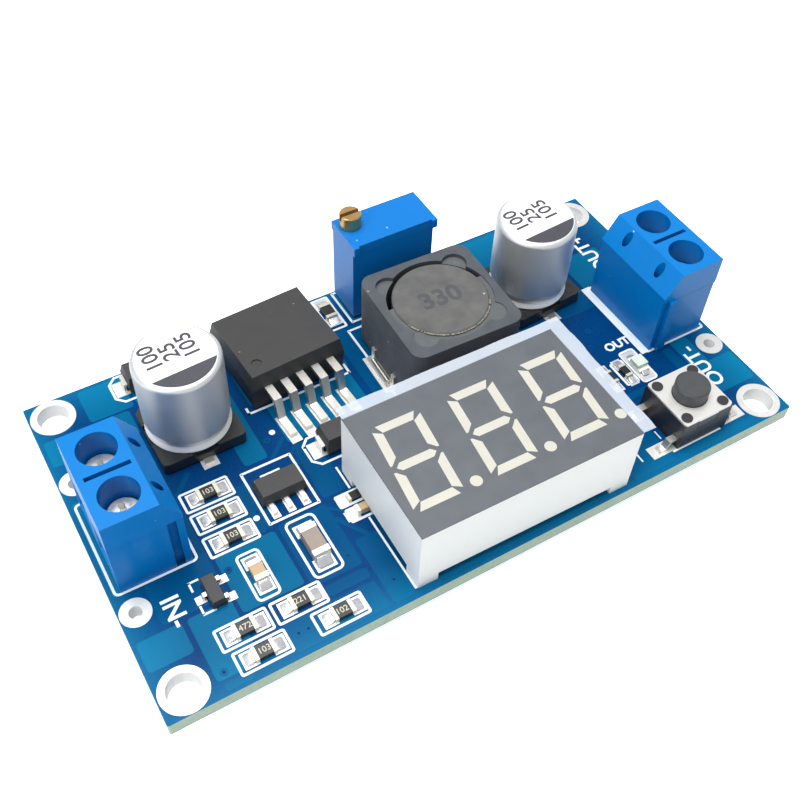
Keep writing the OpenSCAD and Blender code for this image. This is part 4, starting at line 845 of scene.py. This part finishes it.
def build_can_top(side, numbers, turn):
    """White print on the can's top, its dark segment at the front and its numbers."""
    can = f"{side}_capacitor_can"
    low, high = box_of(can)
    place = top_of(can)
    radius = (high.x - low.x) / 2 - CAN_PRINT_INSET
    piece = start_piece(f"{side}_can_print")
    add_disc((0, 0, 0), radius, CAN_PRINT_H, sides=64)
    end_piece(piece, can_print, place=place, turn=turn)
    piece = start_piece(f"{side}_can_segment")
    add_round((0, 0, CAN_PRINT_H), radius - 0.05 * MM, sides=96)
    bpy.ops.mesh.bisect(plane_co=(0, -SEGMENT_CHORD, 0), plane_no=(0, 1, 0), clear_outer=True)
    bpy.ops.mesh.select_all(action="SELECT")
    raise_selected(CAN_SEGMENT_H)
    end_piece(piece, print_black, place=place, turn=turn)
    across, along = headings(turn)
    for index, word in enumerate(numbers):
        spot = place + across * (-2.0 + 1.75 * index) * MM + along * (0.85 - 0.1 * index) * MM
        lettering(f"{side}_can_number_{index}", word, 2.1 * MM, spot, turn + 90, print_black,
                  height=CAN_PRINT_H + CAN_SEGMENT_H)


def build_inductor_number():
    lettering("inductor_number", "330", 2.9 * MM, top_of("inductor_core"), -4, inductor_ink,
              height=0.008 * MM, bold=0.03)


# ---------- film ----------

# The milky part starts this far inside the housing's box, and turns milky this fast per metre
MILKY_INSIDE = 0.28 * MM
MILKY_RISE = 8000.0
MILKY_ALPHA = 0.74
HAZE_ALPHA = 0.1


def film_finish(wall):
    """Clear over the display's face, milky where it hangs over at the right and the back."""
    film = Finish("protective_film", Base_Color=tone(190, 198, 208), Roughness=0.3,
                  IOR=1.45, Specular_IOR_Level=0.3)
    place = object_place(film.tree)
    axes = axes_of(film.tree, place)
    past_side = math_node(film.tree, "SUBTRACT", axes["X"], wall.x - MILKY_INSIDE)
    past_back = math_node(film.tree, "SUBTRACT", axes["Y"], wall.y - MILKY_INSIDE)
    past = math_node(film.tree, "MAXIMUM", past_side, past_back)
    milky = math_node(film.tree, "MULTIPLY", past, MILKY_RISE, clamp=True)
    haze = math_node(film.tree, "MULTIPLY", noise_node(film.tree, place, 500), HAZE_ALPHA)
    thick = math_node(film.tree, "MULTIPLY", milky, MILKY_ALPHA)
    alpha = math_node(film.tree, "ADD", thick, haze, clamp=True)
    film.link(alpha, "Alpha")
    return film.material


def build_film():
    """Thin protective film, a little wavy where it hangs over."""
    low, high = box_of("display_film")
    wall = box_of("display_housing")[1]
    piece = start_piece("display_film_sheet")
    centre = (low + high) / 2
    side_edge = (wall.x - centre.x) / MM + 0.15
    back_edge = (wall.y - centre.y) / MM + 0.15
    turn = math.radians(DISPLAY_TURN)
    length = (high.x - low.x) - (high.y - low.y) * abs(math.sin(turn))
    width = (high.y - low.y) - (high.x - low.x) * abs(math.sin(turn))
    add_flat((0, 0, 0), length, width)
    bpy.ops.mesh.subdivide(number_cuts=40)
    for vert in edit_mesh().verts:
        x, y = vert.co.x / MM, vert.co.y / MM
        side = max(0.0, x - side_edge)
        back = max(0.0, y - back_edge)
        ripple = math.sin(y * 1.9 + 0.6) + 0.6 * math.sin(y * 4.3)
        ripple_back = math.sin(x * 1.3) + 0.5 * math.sin(x * 3.1 + 1.0)
        vert.co.z = (side * 0.022 * (ripple - 1.6) + back * 0.02 * (ripple_back - 1.5)) * MM
        vert.co.x -= side * 0.05 * (1.0 + math.sin(y * 1.2)) * MM
        vert.co.y -= back * 0.03 * (1.0 + math.sin(x * 0.9)) * MM
    bmesh.update_edit_mesh(bpy.context.object.data)
    end_piece(piece, film_finish(wall), place=centre, turn=DISPLAY_TURN,
              smooth=40)
    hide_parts("display_film")


# ---------- solder ----------


def add_fillet(centre, turn, reach, width, height, root):
    """Sloping solder from a part's end down to its pad; turn is the way that it slopes."""
    across = headings(turn)[0]
    along_x = abs(across.x) > 0.5
    length, depth = (reach, width) if along_x else (width, reach)
    add_flat(centre + across * reach / 2, length, depth, corner=min(length, depth) * 0.25, steps=3)
    raise_selected(root)
    for share, lift in ((0.82, 0.28), (0.55, 0.30), (0.24, 0.42)):
        raise_selected((height - root) * lift)
        squeeze = (share, 0.93, 1) if along_x else (0.93, share, 1)
        bpy.ops.transform.resize(value=squeeze, center_override=centre)


# End of a chip from its middle, chip width, end height, places of the chips and their turn
CHIP_SETS = [
    (1.02, 1.2, 0.26, [(11.6, 18.5, 0), (11.6, 15.9, 0), (11.6, 13.2, 0), (8.8, 4.6, 0),
                      (14.0, 4.6, 0), (9.3, 2.0, 0), (16.6, 2.0, 0), (31.8, 33.4, 90)]),
    (0.82, 0.75, 0.25, [(54.25, 11.6, 90), (52.4, 11.6, 90)]),
    (1.0, 1.2, 0.6, [(12.0, 8.8, 90)]),
    (1.6, 1.5, 0.8, [(*LARGE_CHIP, 90)]),
    (0.75, 0.85, 0.35, [(56.0, 11.7, 90)])
]
# Height of the pads over the board, in millimetres, and the solder's reach and least thickness
PAD_TOP = 0.04
FILLET_REACH = 0.8 * MM
FILLET_ROOT = 0.05 * MM


def build_fillets():
    """Solder at both ends of the chips and of the light."""
    piece = start_piece("chip_solder")
    for end, width, height, places in CHIP_SETS:
        for x, y, turn in places:
            for side in (0, 180):
                way = headings(turn + side)[0]
                spot = on_board(x + end * way.x, y + end * way.y, PAD_TOP)
                add_fillet(spot, turn + side, FILLET_REACH, width * MM, height * MM, FILLET_ROOT)
    end_piece(piece, solder, smooth=60)


# ---------- small details ----------


def build_chip_codes():
    """Plain numbers on the larger resistors, printed the way that they were placed."""
    codes = ("103", "103", "103", "472", "221", "103", "102")
    for index, ((x, y), code) in enumerate(zip(CHIP_BOXES, codes)):
        place = on_board(x + CHIP_SHIFT, y)
        place.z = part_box("chip_resistor_bodies")[1][2]
        lettering(f"chip_code_{index}", code, 0.78 * MM, place, 0, chip_print,
                  height=0.006 * MM, bold=0.01)


# The marks' distance from the base's middle along both edges, in millimetres, and their ring
MARK_OUT = 3.15
MARK_RADIUS = 0.62 * MM
MARK_LINE = 0.07 * MM
MARK_H = 0.02 * MM


def build_base_marks():
    """Round mould marks on the raised corners of the capacitors' bases."""
    piece = start_piece("base_mould_marks")
    for side, turn in (("input", 0), ("output", 4)):
        across, along = headings(turn)
        for x in (-MARK_OUT, MARK_OUT):
            spot = top_of(f"{side}_capacitor_base") + (across * x - along * MARK_OUT) * MM
            add_ring(spot, MARK_RADIUS, MARK_LINE, MARK_H, sides=24)
    end_piece(piece, base_black)


# Front end wall of the output terminal and height of its step, in millimetres, and the painted
# shadow line under it
SHADOW_LINE_Y = 12.77
SHADOW_LINE_Z = 6.8
SHADOW_LINE_W = 0.1 * MM
SHADOW_LINE_H = 0.09 * MM


def build_step_shadow_line():
    """Dark strip under the step of the output terminal's front end: a painted shadow of the step.
    """
    low, high = box_of("output_terminal_housing")
    piece = start_piece("terminal_step_shadow_line")
    centre = on_board(0, SHADOW_LINE_Y, SHADOW_LINE_Z)
    centre.x = (low.x + high.x) / 2
    add_flat(centre, high.x - low.x - SHADOW_LINE_W, SHADOW_LINE_W, corner=0.02 * MM, steps=1)
    raise_selected(SHADOW_LINE_H)
    end_piece(piece, step_shadow_blue)


# How far the skin reaches down from the display's top, how far it stays under it, its thickness
SKIN_DOWN = 6.8 * MM
SKIN_UNDER = 0.02 * MM
SKIN_T = 0.1 * MM


def build_side_skin():
    """Thin skin on the display's right wall, over the well of the last point."""
    place = top_of("display_housing")
    piece = start_piece("display_side_skin")
    add_plate((DISPLAY_L / 2, 0, -SKIN_DOWN), SKIN_T, DISPLAY_W - SKIN_T, SKIN_DOWN - SKIN_UNDER)
    bpy.ops.mesh.select_all(action="SELECT")
    bpy.ops.mesh.bevel(offset=0.008 * MM, segments=1)
    end_piece(piece, housing_white, place=place, turn=DISPLAY_TURN)


def build_dome():
    """Snap dome under the plunger, of the kind that flattens as it is pressed, built here in its
    raised shape on a mesh of its own.
    """
    low, high = box_of("switch_dome")
    foot = (low + high) / 2
    foot.z = low.z
    piece = start_piece("switch_snap_dome")
    add_round(foot, 2.08 * MM, sides=48)
    # Share of the dome's height that each step rises, and how far it draws in
    for rise, share in ((0.4, 0.87), (0.32, 0.74), (0.2, 0.6), (0.08, 0.4)):
        raise_selected((high.z - low.z) * rise)
        bpy.ops.transform.resize(value=(share, share, 1), center_override=foot)
    end_piece(piece, lead_metal, smooth=50)
    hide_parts("switch_dome")
    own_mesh(piece)


# Arc of the crumbs round the drum in degrees, and the number of places along it
CRUMB_START = 200
CRUMB_SWEEP = 128
CRUMB_PLACES = 96


def build_crumbs():
    """Rough rim of set adhesive along the front of the drum."""
    centre = top_of("inductor_core")
    piece = start_piece("adhesive_rim")
    for index in range(CRUMB_PLACES):
        angle = math.radians(CRUMB_START + CRUMB_SWEEP * index / (CRUMB_PLACES - 1))
        # Uneven but fixed value from 0 to 1
        wobble = math.sin(index * 12.9898) * 43758.5453
        wobble -= math.floor(wobble)
        if wobble > 0.78:
            continue
        radius = (4.83 - 0.07 * wobble) * MM
        size = (0.05 + 0.12 * wobble * wobble) * MM
        spot = centre + Vector((radius * math.cos(angle), radius * math.sin(angle),
                                (-0.1 - 0.08 * wobble) * MM))
        bpy.ops.mesh.select_all(action="DESELECT")
        bpy.ops.mesh.primitive_ico_sphere_add(subdivisions=1, radius=size, location=spot)
        bpy.ops.transform.resize(value=(1.5, 1.2, 0.9), center_override=spot)
    end_piece(piece, crumbs)


build_copper()
build_barrels()
build_legend()
build_can_top("input", ("100", "25", "105"), 3)
build_can_top("output", ("100", "25", "105"), 4)
build_inductor_number()
build_film()
build_fillets()
build_chip_codes()
build_base_marks()
build_step_shadow_line()
build_side_skin()
build_dome()
build_crumbs()

# ---------- stage ----------

# How strongly the paper glows to the camera, how much dimmer the ceiling is than the horizon in
# reflections, and the strength of the sky on matt surfaces
PAPER_GLOW = 0.7
CEILING_DIM = 0.62
SKY_ON_MATT = 0.44


def build_stage():
    """White paper under the board, which can be seen through from below."""
    bpy.ops.object.select_all(action="DESELECT")
    bpy.ops.mesh.primitive_circle_add(vertices=96, radius=1.5, fill_type="NGON", location=(0, 0, 0))
    floor = bpy.context.object
    floor.name = "floor"
    paper = Finish("floor_white", Base_Color=(0.9, 0.9, 0.9, 1), Roughness=0.9,
                   Specular_IOR_Level=0.1)
    rays = paper.tree.nodes.new("ShaderNodeLightPath")
    glow = math_node(paper.tree, "MULTIPLY", rays.outputs["Is Camera Ray"], PAPER_GLOW)
    paper.shader.inputs["Emission Color"].default_value = (1, 1, 1, 1)
    paper.tree.links.new(glow, paper.shader.inputs["Emission Strength"])
    # Clear from below and to the lamp below, so that the underside shows
    surface = paper.tree.nodes.new("ShaderNodeNewGeometry")
    clear = paper.tree.nodes.new("ShaderNodeBsdfTransparent")
    choice = paper.tree.nodes.new("ShaderNodeMixShader")
    unseen = math_node(paper.tree, "MAXIMUM", surface.outputs["Backfacing"],
                       rays.outputs["Is Shadow Ray"])
    paper.tree.links.new(unseen, choice.inputs["Fac"])
    paper.tree.links.new(paper.shader.outputs[0], choice.inputs[1])
    paper.tree.links.new(clear.outputs[0], choice.inputs[2])
    paper.tree.links.new(choice.outputs[0], paper.tree.nodes["Material Output"].inputs["Surface"])
    floor.data.materials.append(paper.material)


def build_world():
    """Soft even light; mirror-like surfaces see white at the horizon and a dimmer ceiling."""
    world = bpy.data.worlds.new("studio")
    bpy.context.scene.world = world
    world.use_nodes = True
    tree = world.node_tree
    sky = tree.nodes["Background"]
    sky.inputs["Color"].default_value = (1, 1, 1, 1)
    rays = tree.nodes.new("ShaderNodeLightPath")
    place = tree.nodes.new("ShaderNodeTexCoord")
    height = math_node(tree, "MAXIMUM", axes_of(tree, place.outputs["Generated"])["Z"], 0.0)
    ceiling = math_node(tree, "SUBTRACT", 1.0, math_node(tree, "MULTIPLY", height, CEILING_DIM))
    shiny = math_node(tree, "MULTIPLY", rays.outputs["Is Glossy Ray"], ceiling)
    seen = math_node(tree, "MAXIMUM", rays.outputs["Is Camera Ray"],
                     rays.outputs["Is Transmission Ray"])
    seen = math_node(tree, "MAXIMUM", seen, shiny)
    plain = math_node(tree, "MULTIPLY", rays.outputs["Is Diffuse Ray"], SKY_ON_MATT)
    strength = math_node(tree, "MAXIMUM", seen, plain)
    tree.links.new(strength, sky.inputs["Strength"])


def add_softbox(name, place, size, power):
    """Round soft lamp that looks at the board's middle."""
    bpy.ops.object.light_add(type="AREA", location=place)
    lamp = bpy.context.object
    lamp.name = name
    lamp.data.shape = "DISK"
    lamp.data.size = size
    lamp.data.energy = power
    lamp.rotation_euler = (-Vector(place)).to_track_quat("-Z", "Y").to_euler()


def build_camera(place, turn, lens, shift):
    """Camera above the front left corner; its turn is in degrees."""
    bpy.ops.object.camera_add(location=place, rotation=tuple(math.radians(a) for a in turn))
    camera = bpy.context.object
    camera.data.lens = lens
    camera.data.sensor_width = 36
    camera.data.shift_x, camera.data.shift_y = shift
    camera.data.clip_start = 0.005
    bpy.context.scene.camera = camera


build_stage()
build_world()
add_softbox("softbox_over", place=(-0.02, 0.04, 0.46), size=0.36, power=2.7)
add_softbox("softbox_left", place=(-0.4, -0.12, 0.26), size=0.3, power=0.9)
add_softbox("softbox_under", place=(-0.05, 0.05, -0.42), size=0.36, power=1.8)
build_camera(place=(-0.03549, -0.053385, 0.083062), turn=(39.225, -1.821, -30.478), lens=47.13,
             shift=(-0.0036, -0.0011))
bpy.context.scene.view_settings.view_transform = "Standard"
